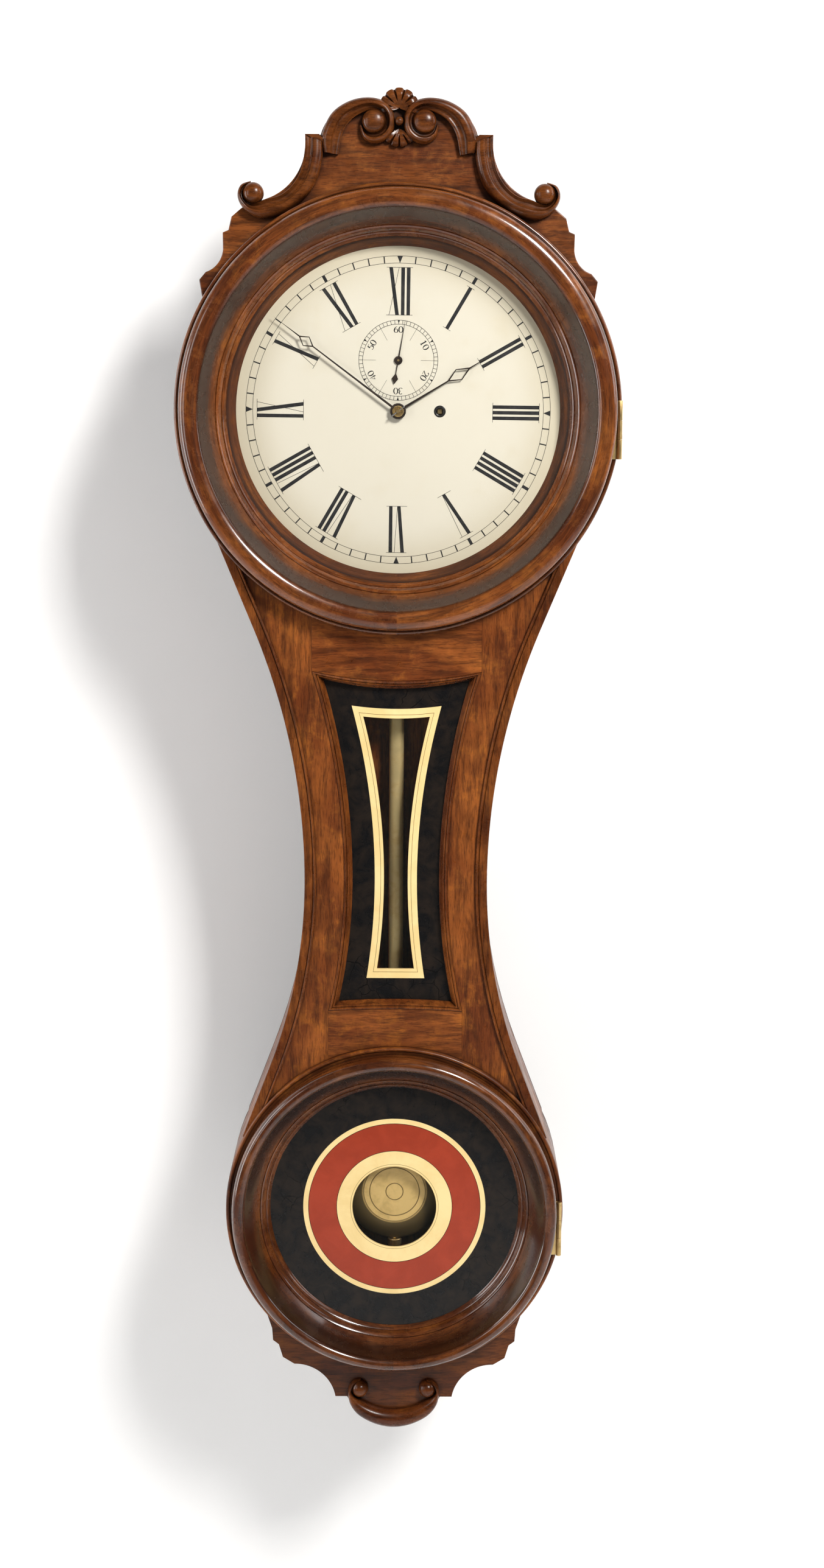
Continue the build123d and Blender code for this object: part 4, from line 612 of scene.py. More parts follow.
def front_ring(name, centre, radius, bore, bezel, material):
    """Flat ring with a bead that shows round the door."""
    y = RING_FRONT
    profile = [
        (bore, CASE_FRONT),
        (radius, CASE_FRONT),
        (radius, y + 3.2),
        (radius - 0.5, y + 1.4),
        (radius - 1.7, y + 0.25),
        (radius - 3.0, y),
        (radius - 4.2, y + 0.3),
        (radius - 4.9, y + 1.1),
        (bezel - 0.8, y + 1.3),
        (bezel - 1.2, y + 0.15),
        (bore, y + 0.15),
    ]
    turned(name, centre, profile, material, "case", "case_wood", (name,), sharp=40)


def case_rings():
    """The two hoops and the rings on their fronts."""
    hoop("upper_hoop", UPPER, UPPER_RADIUS, False, upper_hoop_wood)
    hoop("lower_hoop", LOWER, LOWER_RADIUS, True, lower_hoop_wood)
    front_ring("upper_front_ring", UPPER, UPPER_RADIUS, UPPER_RING_BORE, UPPER_DOOR[0], upper_door_wood)
    front_ring("lower_front_ring", LOWER, LOWER_RADIUS, LOWER_RING_BORE, LOWER_DOOR[0], lower_ring_wood)


def throat_case():
    """Side walls, raised strips with their bead, stiles closed up to the rails, and the beading."""
    wall = [(0.0, BACK), (0.0, CASE_FRONT), (HOOP_WALL, CASE_FRONT), (HOOP_WALL, BACK)]
    strip = [
        (0.0, CASE_FRONT),
        (0.0, STRIP_FRONT + 0.9),
        (0.3, STRIP_FRONT + 0.3),
        (0.9, STRIP_FRONT),
        (8.7, STRIP_FRONT),
        (9.2, STRIP_FRONT + 0.7),
        (9.6, STRIP_FRONT + 0.5),
        (10.0, STRIP_FRONT - 0.6),
        (10.6, STRIP_FRONT - 1.3),
        (11.3, STRIP_FRONT - 1.5),
        (12.0, STRIP_FRONT - 1.2),
        (12.5, STRIP_FRONT - 0.4),
        (STRIP_WIDTH, STRIP_FRONT + 0.6),
        (STRIP_WIDTH, CASE_FRONT),
    ]
    stile = [
        (0.0, CASE_FRONT),
        (0.0, PANEL_FRONT + 0.4),
        (0.006, PANEL_FRONT),
        (0.5, PANEL_FRONT),
        (1.0, PANEL_FRONT),
        (1.0, CASE_FRONT),
    ]
    beading = [
        (0.0, -107.9),
        (0.0, -118.4),
        (0.4, -119.2),
        (1.3, -119.6),
        (2.3, -119.4),
        (3.0, -118.6),
        (3.3, -117.8),
        (3.9, -118.3),
        (4.7, -118.3),
        (5.3, -117.6),
        (5.6, -116.6),
        (6.3, -115.0),
        (7.6, -112.2),
        (8.6, -110.4),
        (9.0, -109.8),
        (9.0, -107.9),
    ]
    loops = [window_loop(BEADING_INSET + inset, inset) for inset, _ in beading]
    rows = []
    for points in zip(*loops):
        rows.append([(x, y, z) for (x, z), (_, y) in zip(points, beading)])
    runs = {
        "throat_sides": (side_mesh(wall), case_wood),
        "side_mouldings": (side_mesh(strip), strip_wood),
        "throat_beading": (rows_mesh(rows, True), strip_wood),
        "throat_stiles": (side_mesh(stile, stile_x, 200), stile_wood),
    }
    for name, (mesh, material) in runs.items():
        piece(name, *mesh, material, "case", "case_wood", (name,), 30)


def throat_tablet():
    """Glass of the throat, painted from behind: black field, gilt border with a line, clear middle."""
    edge = window_loop(BEADING_INSET + TABLET_PLAY, TABLET_PLAY)
    outer, line_outer, line_inner, inner = (border_loop(share) for share in (0.0, 0.62, 0.67, 1.0))
    gold = joined([framed(outer, line_outer), framed(line_inner, inner)])
    pane = prism(inner, TABLET_BACK + 0.4, TABLET_FRONT)
    black = framed(edge, outer)
    piece("throat_black_field", *black, black_glass, "case", "painted_glass", ("throat_glass",))
    piece("throat_gilt_border", *gold, gold_glass, "case", "painted_glass")
    piece("throat_border_line", *framed(line_outer, line_inner), line_paint, "case", "painted_glass")
    piece("throat_clear_pane", *pane, glass, "case", "clear_glass")


# Doors
def crown(outer, crease, count=22):
    """The rounded top of a bezel, from its outer edge over to the crease."""
    end = math.pi - math.asin((abs(CREASE_Y) - abs(CROWN_START)) / CROWN_RISE)
    half = (outer - crease) / (1 - math.cos(end))
    middle = outer - half
    return [
        (middle + half * math.cos(turn), CROWN_START - CROWN_RISE * math.sin(turn))
        for turn in spaced(0.0, end, count)
    ]


def bezel(name, centre, rims, material, body):
    """Turned door ring: fat rounded rim, a hollow that its wood paints with a dark band of shade, shoulder
    and a double bead at the glass.
    """
    outer, crease, ledge, sight = rims
    profile = [(outer - 0.6, DOOR_BACK), (outer, DOOR_BACK - 0.6)] + crown(outer, crease)
    for share in spaced(0.08, 1.0, 10):
        bow = 0.05 * math.sin(math.pi * share)
        depth = CREASE_Y + (LEDGE_Y - CREASE_Y) * (share + bow)
        profile.append((crease + (ledge - crease) * share, depth))
    for share, proud in STEP_BEAD + GLASS_BEAD:
        depth = LEDGE_Y + (GLASS_FRONT - LEDGE_Y) * share - proud
        profile.append((ledge - (ledge - sight) * share, depth))
    rebate, flange = sight + REBATE, ledge + FLANGE
    profile += [(sight, GLASS_FRONT - 0.5), (sight, GLASS_FRONT), (rebate, GLASS_FRONT)]
    profile += [(rebate, FLANGE_BACK), (flange, FLANGE_BACK), (flange, DOOR_BACK)]
    turned(name, centre, profile, material, body, "door_wood", (name,), sharp=28)


def painted_rings(name, bands, material, replaces=()):
    """Flat rings of the lower glass, each the glass's full thickness."""
    parts = []
    for inner, outer in bands:
        profile = [(inner, GLASS_BACK), (outer, GLASS_BACK), (outer, GLASS_FRONT), (inner, GLASS_FRONT)]
        parts.append(turned_mesh(LOWER, profile))
    piece(name, *joined(parts), material, "lower_door", "painted_glass", replaces)


def pane(name, centre, radius, body, replaces=()):
    """A round clear pane."""
    turns = [2 * math.pi * i / SEGMENTS for i in range(SEGMENTS)]
    outline = [(centre[0] + radius * math.sin(t), centre[1] + radius * math.cos(t)) for t in turns]
    piece(name, *prism(outline, GLASS_BACK, GLASS_FRONT), glass, body, "clear_glass", replaces)


def doors():
    """Both bezels with their glasses; the lower glass is painted round a clear window."""
    bezel("upper_bezel", UPPER, UPPER_DOOR, upper_door_wood, "upper_door")
    bezel("lower_bezel", LOWER, LOWER_DOOR, lower_door_wood, "lower_door")
    pane("upper_glass", UPPER, UPPER_PANE_RADIUS, "upper_door", ("upper_glass",))
    black = ((101.6, 141.8), (95.5, 96.1), (64.1, 64.7))
    painted_rings("lower_black_field", black, black_glass, ("lower_glass",))
    gold = ((96.1, 101.6), (49.2, 64.1), (WINDOW_RADIUS, 48.8))
    painted_rings("lower_gilt_rings", gold, gold_glass)
    painted_rings("lower_gilt_line", ((48.8, 49.2),), line_paint)
    painted_rings("lower_red_ring", ((64.7, 95.5),), red_glass)
    pane("lower_clear_pane", LOWER, WINDOW_RADIUS, "lower_door")


# Carving
def between(a, b, c, d, t):
    """Smooth value between b and c, with a and d beside them."""
    return 0.5 * (2 * b + (c - a) * t + (2 * a - 5 * b + 4 * c - d) * t**2 + (3 * b - a - 3 * c + d) * t**3)


def curve_through(points, steps=7):
    """A smooth run through control points of any width."""
    run = []
    last = len(points) - 1
    for i in range(last):
        near = points[max(i - 1, 0)], points[i], points[i + 1], points[min(i + 2, last)]
        for k in range(steps):
            run.append(tuple(between(*values, k / steps) for values in zip(*near)))
    run.append(points[-1])
    return run


ROLLED = ((0, 0.0), (0, 0.42), (0.05, 0.66), (0.14, 0.84), (0.27, 0.96), (0.4, 1.0))
HOLLOW = ((0.5, 0.97), (0.54, 0.86), (0.57, 0.68), (0.68, 0.54), (0.8, 0.52), (0.9, 0.6))
HOLLOW += ((0.96, 0.68), (1, 0.62), (1, 0.0))
SAUSAGE = ((0, 0.0), (0, 0.35), (0.06, 0.62), (0.18, 0.86), (0.34, 0.98), (0.5, 1.0))
SAUSAGE_END = ((0.66, 0.97), (0.82, 0.85), (0.94, 0.6), (1, 0.35), (1, 0.0))


def carved_band(outer, inner, heights, section):
    """A carved band between two edges; its section runs from the outer edge to the inner one."""
    outer, inner = curve_through(outer), curve_through(inner)
    tall = curve_through([(h,) for h in heights])
    rows = []
    for (ox, oz), (ix, iz), (height,) in zip(outer, inner, tall):
        row = [(ox + (ix - ox) * u, CREST_FRONT - height * h, oz + (iz - oz) * u) for u, h in section]
        row[0] = (ox, CREST_FRONT + SINK, oz)
        row[-1] = (ix, CREST_FRONT + SINK, iz)
        rows.append(row)
    return rows_mesh(rows)


def button(centre, radius, height, flat=0.35):
    """A rounded carved ball on the board; flat is the share of its height with upright sides."""
    profile = [(0.0, CREST_FRONT + SINK), (radius, CREST_FRONT + SINK)]
    for turn in spaced(0.0, math.pi / 2, 12):
        rise = height * flat + height * (1 - flat) * math.sin(turn)
        profile.append((radius * math.cos(turn), CREST_FRONT - rise))
    return turned_mesh(centre, profile, segments=48)


def carving(name, mesh, sharp):
    """A carved piece of the case."""
    piece(name, *mesh, carved_wood, "case", "carved_wood", (name,), sharp)


def centre_scrolls():
    """C scrolls: a rolled and hollowed band that curls round a ball."""
    outer = [(79.5, 267), (81, 283), (71, 305.6), (53, 318.4), (32.5, 322.6), (15, 318.4), (5.4, 305.6)]
    outer += [(5.2, 291), (13.6, 279.4), (26.5, 275.4), (37.4, 281), (41.5, 293)]
    inner = [(63.6, 264.5), (59.4, 285), (51.5, 298), (41, 305.6), (26.5, 309.8), (17.2, 305), (14.6, 298)]
    inner += [(17.2, 290.6), (23.6, 287), (31, 287.6), (35.4, 291.4), (37.6, 297)]
    heights = [8.5, 10, 11.5, 12.5, 13, 13, 13, 12.6, 12, 11, 9, 6]
    band = carved_band(outer, inner, heights, ROLLED + HOLLOW)
    ball = button((26.3, 298.4), 12.2, 14.6, 0.5)
    carving("centre_scrolls", both_sides(joined([band, ball])), 32)


def shoulder_scrolls():
    """Shoulder scrolls: a hollow and a roll that sweep down from a square corner and wrap a ball."""
    lower = [(79.5, 277), (79.8, 262), (84.4, 241.6), (94, 224.6), (110, 209.4), (127.4, 200.8)]
    lower += [(143.2, 198.9), (157, 203.6), (166, 213.5), (168.8, 224), (165, 233.5), (155, 237.4)]
    upper = [(98.0, 284.6), (98.3, 268.5), (102.6, 248.2), (111.4, 233.2), (123.8, 223), (136, 219.6)]
    upper += [(146, 215.6), (154, 214), (160.5, 218), (163.2, 224.5), (160.4, 231), (154, 234)]
    heights = [10.5, 11.5, 12.5, 13, 13, 13, 12.6, 12.2, 11.6, 10.6, 9, 6]
    band = carved_band(lower, upper, heights, ROLLED + HOLLOW)
    corner = [(79.5, 277), (98.0, 284.6), (98.0, 285), (83.4, 285), (79.5, 281)]
    block = prism(corner, CREST_FRONT + SINK, CREST_FRONT - 7)
    ball = button((152.4, 224.8), 11.2, 14.2)
    carving("shoulder_scrolls", both_sides(joined([band, ball, block])), 32)


def smooth(low, high, value):
    """Smooth step from 0 at low to 1 at high."""
    share = min(max((value - low) / (high - low), 0.0), 1.0)
    return share * share * (3 - 2 * share)


def shell(centre, reach, facing, spread, lobes, height):
    """A fan of lobes cut by radial grooves, domed towards its rim."""
    rings, steps = 14, lobes * 12
    width = rings + 1
    verts = []
    for i in range(steps + 1):
        turn = math.radians(facing + spread * (i / steps - 0.5))
        phase = (i / 12) % 1.0
        away = min(phase, 1 - phase)
        cut = math.exp(-((away / 0.09) ** 2))
        edge = reach * (1 - 0.07 * math.exp(-((away / 0.16) ** 2)))
        for k in range(width):
            share = k / rings
            tall = height * (0.62 + 0.38 * math.sin(math.pi * min(share, 0.96) ** 1.5))
            tall -= 2.6 * cut * smooth(0.3, 0.6, share) + 0.8 * smooth(0.9, 1.0, share)
            x = centre[0] + edge * share * math.sin(turn)
            z = centre[1] + edge * share * math.cos(turn)
            verts.append((x, CREST_FRONT - tall, z))
    faces = []
    for i in range(steps):
        for k in range(rings):
            low = i * width + k
            faces.append((low, low + 1, low + width + 1, low + width))
    front = [i * width + rings for i in range(steps + 1)] + [0]
    shift, count = len(verts), len(front)
    verts += [(verts[i][0], CREST_FRONT + SINK, verts[i][2]) for i in front]
    for i in range(count):
        k = (i + 1) % count
        if i == steps:
            faces.append((front[i], shift + i, shift + k))
        else:
            faces.append((front[i], front[k], shift + k, shift + i))
    faces.append(tuple(shift + i for i in range(count)))
    return verts, faces


def crest_shell():
    """Fan, small shell and the boss between them."""
    fan = shell((0, 311.5), 21.0, 0, 224, 7, 9.0)
    small = shell((0, 291), 18.5, 180, 130, 4, 8.0)
    carving("crest_shell", joined([fan, small, button((0, 298.4), 4.6, 14.0, 0.6)]), 40)


def base_crescent():
    """Crescent with two balls in its rolled ends."""
    outer = [(37, -1080.6), (46, -1083.5), (51.3, -1093.3), (49.5, -1108), (42, -1120)]
    outer += [(30, -1128.5), (15, -1134.4), (0, -1136.4)]
    inner = [(38, -1082.6), (44, -1086.5), (47.2, -1094.5), (42, -1101.4), (33, -1107.5)]
    inner += [(23, -1112.4), (12, -1115.4), (0, -1116.4)]
    outer += [(-x, z) for x, z in outer[-2::-1]]
    inner += [(-x, z) for x, z in inner[-2::-1]]
    heights = [5, 8.5, 10.5, 11.5, 12.2, 12.8, 13, 13]
    heights += heights[-2::-1]
    band = carved_band(outer, inner, heights, SAUSAGE + SAUSAGE_END)
    balls = [button((side * 38.0, -1091.4), 9.6, 13.0, 0.25) for side in (-1, 1)]
    carving("base_crescent", joined([band, *balls]), 34)


# Dial
def dial_point(angle, across, out, centre=UPPER):
    """A point on the dial: across to the clockwise side and out from a centre, on a radius at an angle."""
    turn = math.radians(angle + DIAL_LEAN)
    x = out * math.sin(turn) + across * math.cos(turn)
    z = out * math.cos(turn) - across * math.sin(turn)
    return centre[0] + x, centre[1] + z


def stroke(angle, inner, outer, inner_width, outer_width, centre=UPPER):
    """A flat stroke on a radius, from (across, out) to (across, out)."""
    (ax, ar), (bx, br) = inner, outer
    corners = (
        (ax - inner_width / 2, ar),
        (ax + inner_width / 2, ar),
        (bx + outer_width / 2, br),
        (bx - outer_width / 2, br),
    )
    return prism([dial_point(angle, a, r, centre) for a, r in corners], DIAL_FRONT, INK_FRONT)


def numeral(text, angle):
    """Thick and thin strokes of a roman numeral between two radii, with hairline serifs."""
    widths = {"I": THICK, "V": CROSS_WIDTH, "X": CROSS_WIDTH}
    total = sum(widths[letter] for letter in text) + STROKE_GAP * (len(text) - 1)
    across = -total / 2
    thick, thin = [], []
    low, high = NUMERAL_INNER, NUMERAL_OUTER
    for letter in text:
        wide = widths[letter]
        left, right = across + THICK / 2, across + wide - THICK / 2
        if letter == "I":
            thick.append(stroke(angle, (left, low), (left, high), THICK * 0.94, THICK))
        elif letter == "X":
            thick.append(stroke(angle, (right, low), (left, high), THICK, THICK))
            thin.append(stroke(angle, (across + 0.3, low), (across + wide - 0.3, high), HAIR, HAIR))
        else:
            foot = across + wide * 0.56
            thick.append(stroke(angle, (foot, low), (left, high), THICK * 0.9, THICK))
            thin.append(stroke(angle, (foot + THICK * 0.4, low), (across + wide - 0.2, high), HAIR, HAIR))
        across += wide + STROKE_GAP
    span = total + 2 * SERIF_REACH
    for out in (low, high):
        thin.append(stroke(angle, (0, out - HAIR / 2), (0, out + HAIR / 2), span, span))
    return thick, thin


def circle_line(centre, radius, width):
    """A printed circle."""
    inner, outer = radius - width / 2, radius + width / 2
    profile = [(inner, DIAL_FRONT), (outer, DIAL_FRONT), (outer, INK_FRONT), (inner, INK_FRONT)]
    return turned_mesh(centre, profile)


def arc(cx, cz, rx, rz, start, end, count=15):
    """Points on an ellipse; angles run anticlockwise from three o'clock."""
    turns = [math.radians(a) for a in spaced(start, end, count)]
    return [(cx + rx * math.cos(t), cz + rz * math.sin(t)) for t in turns]


DIGITS = {
    "0": [arc(0.35, 0.5, 0.31, 0.49, 0, 360, 25)],
    "1": [[(0.35, 0.0), (0.35, 1.0)], [(0.14, 0.82), (0.35, 1.0)], [(0.15, 0.0), (0.55, 0.0)]],
    "2": [arc(0.34, 0.72, 0.28, 0.27, 170, -45) + [(0.08, 0.03)], [(0.06, 0.03), (0.66, 0.03)]],
    "3": [arc(0.34, 0.75, 0.24, 0.24, 150, -90), arc(0.34, 0.26, 0.29, 0.26, 90, -150)],
    "4": [[(0.5, 0.0), (0.5, 1.0), (0.04, 0.3), (0.72, 0.3)]],
    "5": [[(0.16, 0.98), (0.6, 0.98)], [(0.16, 0.98), (0.16, 0.56)], arc(0.33, 0.31, 0.29, 0.3, 130, -145)],
    "6": [arc(0.35, 0.3, 0.28, 0.29, 0, 360, 25), arc(0.62, 0.34, 0.55, 0.63, 180, 100)],
}


def digit(letter, angle, across, out, size, centre):
    """One figure drawn with a broad pen: upright strokes thick, level ones thin."""
    parts = []
    for path in DIGITS[letter]:
        points = [(across + x * size, out + z * size) for x, z in path]
        rows = []
        for i, (x, z) in enumerate(points):
            ax, az = points[max(i - 1, 0)]
            bx, bz = points[min(i + 1, len(points) - 1)]
            length = math.hypot(bx - ax, bz - az) or 1.0
            dx, dz = (bx - ax) / length, (bz - az) / length
            half = 0.2 + 0.42 * abs(dz) ** 2
            left = dial_point(angle, x - dz * half, z + dx * half, centre)
            right = dial_point(angle, x + dz * half, z - dx * half, centre)
            row = [(left[0], y, left[1]) for y in (DIAL_FRONT, INK_FRONT)]
            rows.append(row + [(right[0], y, right[1]) for y in (INK_FRONT, DIAL_FRONT)])
        parts.append(rows_mesh(rows))
    return parts


def dial_print():
    """Minute track, roman numerals and the seconds ring."""
    heavy, light = [], []
    light.append(circle_line(UPPER, MINUTE_OUTER, HAIR))
    light.append(circle_line(UPPER, MINUTE_INNER, HAIR))
    for minute in range(60):
        angle = minute * 6.0
        if minute % 15 == 0:
            heavy.append(stroke(angle, (0, MINUTE_INNER + 0.2), (0, MINUTE_OUTER), 0.3, QUARTER_MARK_WIDTH))
        else:
            wide = HOUR_MARK_WIDTH if minute % 5 == 0 else MINUTE_WIDTH
            heavy.append(stroke(angle, (0, MINUTE_INNER), (0, MINUTE_OUTER), wide, wide))
    names = ("XII", "I", "II", "III", "IIII", "V", "VI", "VII", "VIII", "IX", "X", "XI")
    for hour, text in enumerate(names):
        thick, thin = numeral(text, hour * 30.0)
        heavy += thick
        light += thin
    light.append(circle_line(SECONDS, SECONDS_OUTER, SECONDS_LINE))
    light.append(circle_line(SECONDS, SECONDS_INNER, SECONDS_LINE))
    for second in range(60):
        angle = second * 6.0
        ends = (0, SECONDS_INNER), (0, SECONDS_OUTER)
        light.append(stroke(angle, *ends, SECONDS_LINE, SECONDS_LINE, SECONDS))
        if second % 10 == 0:
            heavy.append(stroke(angle, (0, SECONDS_INNER + 0.7), (0, SECONDS_OUTER), 0.1, 2.4, SECONDS))
            text = str(second or 60)
            for place, letter in enumerate(text):
                across = (place - len(text) / 2) * DIGIT_HEIGHT * DIGIT_PITCH
                heavy += digit(letter, angle, across, DIGIT_FOOT, DIGIT_HEIGHT, SECONDS)
        elif second % 5 == 0:
            ends = (0, SECONDS_RAY_INNER), (0, SECONDS_INNER)
            light.append(stroke(angle, *ends, SECONDS_RAY, SECONDS_RAY, SECONDS))
    piece("dial_numerals", *joined(heavy), ink, "case", "dial_paint")
    piece("dial_fine_lines", *joined(light), fine_ink, "case", "dial_paint")


def dial_furniture():
    """Sight ring, eyelet of the winding hole and the nut on the centre arbor."""
    rim = UPPER_RADIUS - HOOP_WALL
    profile = [(DIAL_SIGHT, DIAL_FRONT), (173.3, -89.0), (176.5, -93.2), (179.2, -97.8), (181.2, -101.2)]
    profile += [(182.5, SIGHT_FRONT), (rim, SIGHT_FRONT), (rim, DIAL_FRONT)]
    turned("sight_ring", UPPER, profile, sight_wood, "case", "case_wood", ("sight_ring",), sharp=28)
    eyelet = [(3.9, -86.2), (5.4, -86.2), (5.4, -88.2), (6.3, -88.2), (6.3, -88.45), (5.8, -88.7)]
    eyelet += [(4.6, -88.7), (3.9, -88.3)]
    name = "winding_grommet"
    turned(name, WINDING_HOLE, eyelet, dark_paint, "case", "dark_eyelet", (name,), segments=64)
    nut = [(2.02, -94.8), (5.9, -94.8), (5.9, -95.9), (5.6, -96.3), (5.0, -96.4)]
    nut += [(4.7, -96.15), (4.3, -96.15), (4.0, -96.4), (3.2, -96.4), (3.0, -96.0)]
    nut += [(2.7, -96.0), (2.5, -96.4), (2.02, -96.4)]
    turned("centre_nut", UPPER, nut, bright_brass, "centre_train", "brass", ("collet",), segments=72)
    rows = []
    lean = math.radians(53.0)
    for along in spaced(-9.0, 9.0, 9):
        radius = 0.9 - 0.025 * (along + 9.0)
        x, z = along * math.sin(lean), along * math.cos(lean)
        row = []
        for i in range(16):
            turn = 2 * math.pi * i / 16
            side, deep = radius * math.cos(turn), radius * math.sin(turn)
            row.append((x + side * math.cos(lean), -97.3 + deep, z - side * math.sin(lean)))
        rows.append(row)
    piece("taper_pin", *rows_mesh(rows, False), steel, "centre_train", "steel")


# Pendulum
def level_circle(z, radius, count, notch=0.0):
    """Points of a level circle on the pendulum, with a cut at every third."""
    points = []
    for i in range(count):
        turn = 2 * math.pi * i / count
        reach = radius - (notch if i % 3 == 0 else 0.0)
        points.append((reach * math.cos(turn), PENDULUM_PLANE + reach * math.sin(turn), z))
    return points


def pendulum():
    """Brass bob with its turned rings, the gilt rod and the nut under the bob."""
    front = [(9.0, BOB_HALF), (9.4, 13.6), (9.8, 13.6), (10.2, BOB_HALF), (27.4, BOB_HALF), (27.7, 13.6)]
    front += [(28.1, 13.6), (28.4, BOB_HALF), (34.6, BOB_HALF), (35.4, 13.8), (BOB_FLAT, 13.4)]
    for share in spaced(0.12, 0.88, 9):
        bow = 1.5 * math.sin(math.pi * share)
        front.append((BOB_FLAT + (BOB_RADIUS - BOB_FLAT) * share, 13.4 - 9.6 * share + bow))
    front += [(57.1, 3.7), (BOB_RADIUS, 3.0)]
    back = ((BOB_RADIUS, 3.0), (57.1, 3.7), (BOB_FLAT, 13.6), (34.6, BOB_HALF), (0.0, BOB_HALF))
    profile = [(0.0, PENDULUM_PLANE - BOB_HALF)] + [(r, PENDULUM_PLANE - h) for r, h in front]
    profile += [(r, PENDULUM_PLANE + h) for r, h in back]
    turned("bob", (0.0, BOB_CENTRE), profile, bob_brass, "pendulum", "brass", ("bob",), 24, segments=128)
    rod = []
    for z, grow in ((-38.0, 0.85), (-38.6, 1.0), (-300.0, 1.0), (-600.0, 1.0), (-812.0, 1.0)):
        row = []
        for i in range(40):
            turn = 2 * math.pi * i / 40
            x = ROD_HALF * grow * math.copysign(abs(math.cos(turn)) ** 0.9, math.cos(turn))
            row.append((x, PENDULUM_PLANE + ROD_HALF_DEPTH * grow * math.sin(turn), z))
        rod.append(row)
    screw = [level_circle(z, SCREW_RADIUS, 16) for z in (-924.0, -938.6, -939.5)]
    parts = joined([rows_mesh(rod), rows_mesh(screw)])
    piece("pendulum_rod", *parts, rod_gilt, "pendulum", "rod_wood", ("pendulum_rod",))
    edges = ((-925.6, 7.4), (-926.2, 8.0), (-932.6, 8.0), (-933.4, 7.2))
    nut = rows_mesh([level_circle(z, radius, 72, 0.4) for z, radius in edges])
    piece("rating_nut", *nut, brass, "pendulum", "brass", ("rating_nut",))


def carried_over():
    """Finishes and eased edges for the nodes that stay as they are."""
    dress(shaded_inner_wood, "backboard")
    dress(case_wood, "baffle_board")
    dress(rail_wood, "top_rail", "bottom_rail")
    dress(board_wood, "crest_board")
    dress(base_wood, "base_board")
    dress(dial_cream, "dial_plate")
    dress(blued, "hour_hand", "minute_hand", "seconds_hand")
    dress(steel, "hanger_plate", "click", "verge", "keystone_loop", "suspension_spring")
    dress(iron, "movement_brackets", "suspension_bracket", "weight")
    dress(gut, "weight_line")
    dress(
        brass,
        "back_plate",
        "front_plate",
        "plate_pillars",
        "centre_wheel",
        "third_wheel",
        "escape_wheel",
        "great_wheel",
        "winding_drum",
        "cannon_pinion",
        "minute_wheel",
        "hour_wheel",
        "weight_pulley",
        "case_hinge_leaves",
        "upper_door_hinge_leaf",
        "lower_door_hinge_leaf",
        "upper_glass_points",
        "lower_glass_points",
        "dial_buttons",
    )
    ease_edges(0.4, "top_rail", "bottom_rail")
    ease_edges(1.2, "crest_board", "base_board")
    ease_edges(0.25, "hour_hand", "minute_hand", "keystone_loop", "case_hinge_leaves")


# Stage
def backdrop():
    """Pale wall well behind the clock that curves into a pale floor."""
    s = Shader("pale_backdrop")
    tone = s.mix(s.ramp(s.noise(s.place(), 3.0, 2.0), 0.3, 0.7), (0.92, 0.92, 0.92), (0.94, 0.94, 0.94))
    material = s.set(Base_Color=tone, Roughness=0.9, Specular_IOR_Level=0.1)
    clear = s.node("ShaderNodeBsdfTransparent")
    sided = s.node("ShaderNodeNewGeometry").outputs["Backfacing"]
    both = s.node("ShaderNodeMixShader")
    s.put(both.inputs[0], sided)
    s.put(both.inputs[1], s.shader.outputs[0])
    s.put(both.inputs[2], clear.outputs[0])
    s.put(s.tree.nodes["Material Output"].inputs["Surface"], both.outputs[0])
    profile = [(STAGE_FRONT, FLOOR)]
    for turn in spaced(0.0, math.pi / 2, 16):
        profile.append((WALL - BEND + BEND * math.sin(turn), FLOOR + BEND - BEND * math.cos(turn)))
    profile.append((WALL, STAGE_TOP))
    verts = [(x * MM, y * MM, z * MM) for y, z in profile for x in (-STAGE_HALF, STAGE_HALF)]
    faces = [(2 * i, 2 * i + 1, 2 * i + 3, 2 * i + 2) for i in range(len(profile) - 1)]
    mesh = bpy.data.meshes.new("backdrop")
    mesh.from_pydata(verts, [], faces)
    mesh.shade_smooth()
    mesh.materials.append(material)
    obj = bpy.data.objects.new("backdrop", mesh)
    bpy.context.scene.collection.objects.link(obj)


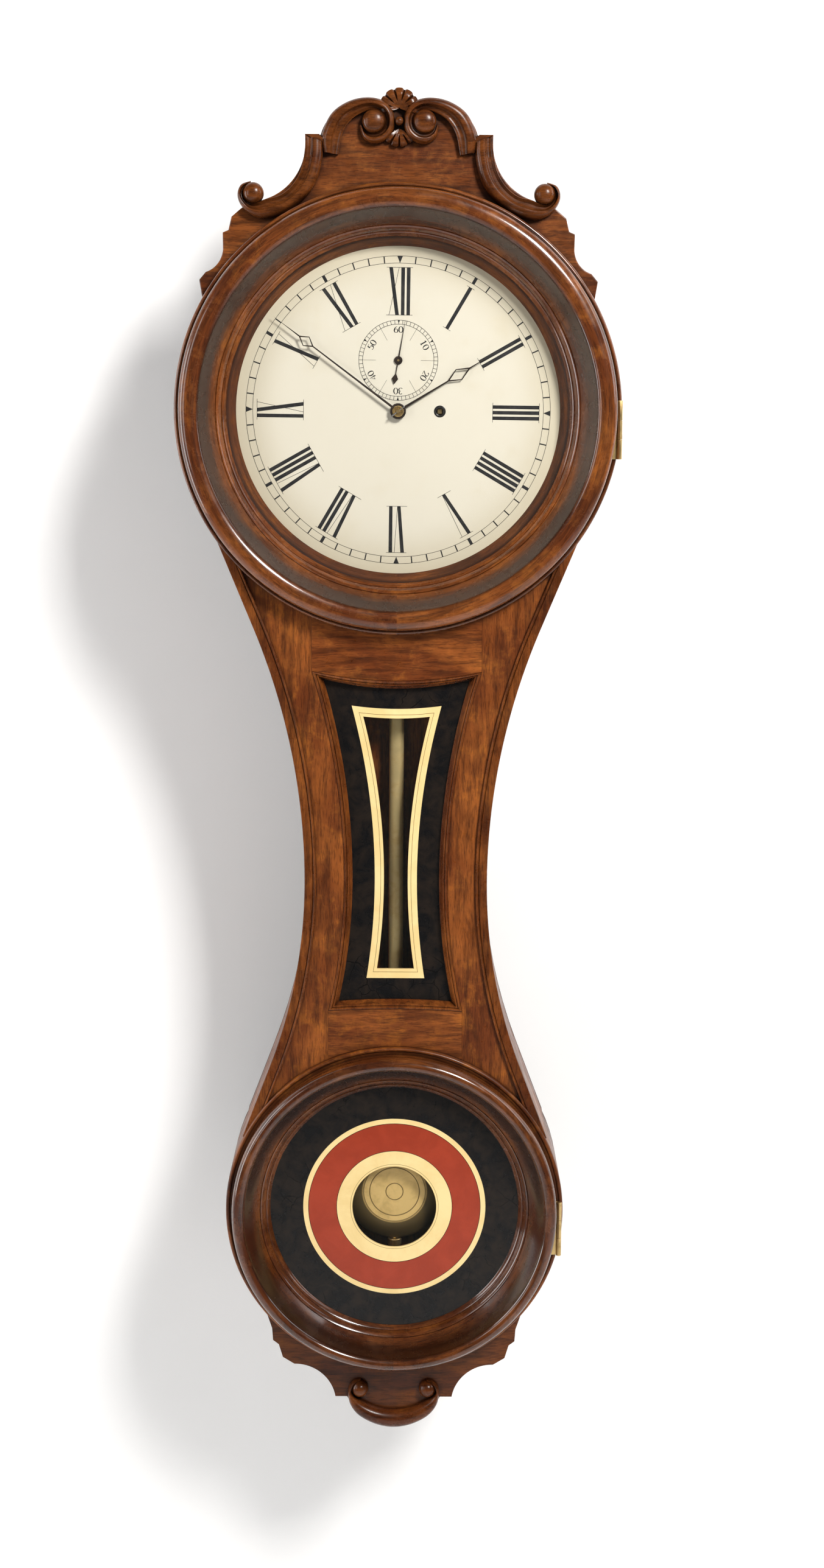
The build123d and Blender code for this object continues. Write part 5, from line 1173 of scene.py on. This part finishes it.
def lamp(name, place, target, size, power, tint=(1, 1, 1)):
    """A soft rectangular light that faces a target."""
    data = bpy.data.lights.new(name, "AREA")
    data.shape = "RECTANGLE"
    data.size, data.size_y = size
    data.energy = power
    data.color = tint
    obj = bpy.data.objects.new(name, data)
    obj.location = place
    obj.rotation_euler = (Vector(target) - Vector(place)).to_track_quat("-Z", "Y").to_euler()
    bpy.context.scene.collection.objects.link(obj)


def studio():
    """Soft light from the upper right, a weaker one from the left, and a pale world."""
    lamp("key", (1.5, -2.5, 1.7), (0.0, -0.1, -0.35), (0.7, 0.9), 142.0, (1.0, 0.98, 0.95))
    lamp("fill", (-2.3, -1.9, 0.2), (0.0, -0.1, -0.5), (0.5, 1.8), 16.0, (1.0, 0.99, 0.98))
    lamp("wall_light", (2.7, -0.35, 0.9), (0.5, 0.11, -0.5), (0.8, 1.8), 22.0)
    lamp("left_wall_light", (-2.4, -0.5, -0.3), (-0.5, 0.11, -0.5), (0.6, 2.0), 34.0)
    world = bpy.data.worlds.new("studio")
    bpy.context.scene.world = world
    world.use_nodes = True
    tree = world.node_tree
    seen = tree.nodes.new("ShaderNodeLightPath").outputs["Is Camera Ray"]
    strength = tree.nodes.new("ShaderNodeMapRange")
    tree.links.new(seen, strength.inputs["Value"])
    strength.inputs["To Min"].default_value = WORLD_LIGHT
    strength.inputs["To Max"].default_value = WORLD_SEEN
    tree.nodes["Background"].inputs[0].default_value = (1.0, 1.0, 1.0, 1.0)
    tree.links.new(strength.outputs[0], tree.nodes["Background"].inputs[1])
    bpy.context.scene.view_settings.view_transform = "Standard"


def camera():
    """The photograph's view: close, level with the hands and tipped down, with a slight roll."""
    data = bpy.data.cameras.new("camera")
    data.sensor_width = 36.0
    data.lens = CAMERA_LENS
    obj = bpy.data.objects.new("camera", data)
    obj.location = CAMERA_PLACE
    obj.rotation_euler = (math.radians(90 - CAMERA_PITCH), 0.0, 0.0)
    obj.rotation_euler.rotate_axis("Z", math.radians(CAMERA_ROLL))
    bpy.context.scene.collection.objects.link(obj)
    bpy.context.scene.camera = obj


case_rings()
throat_case()
throat_tablet()
doors()
centre_scrolls()
shoulder_scrolls()
crest_shell()
base_crescent()
dial_print()
dial_furniture()
pendulum()
carried_over()
backdrop()
studio()
camera()
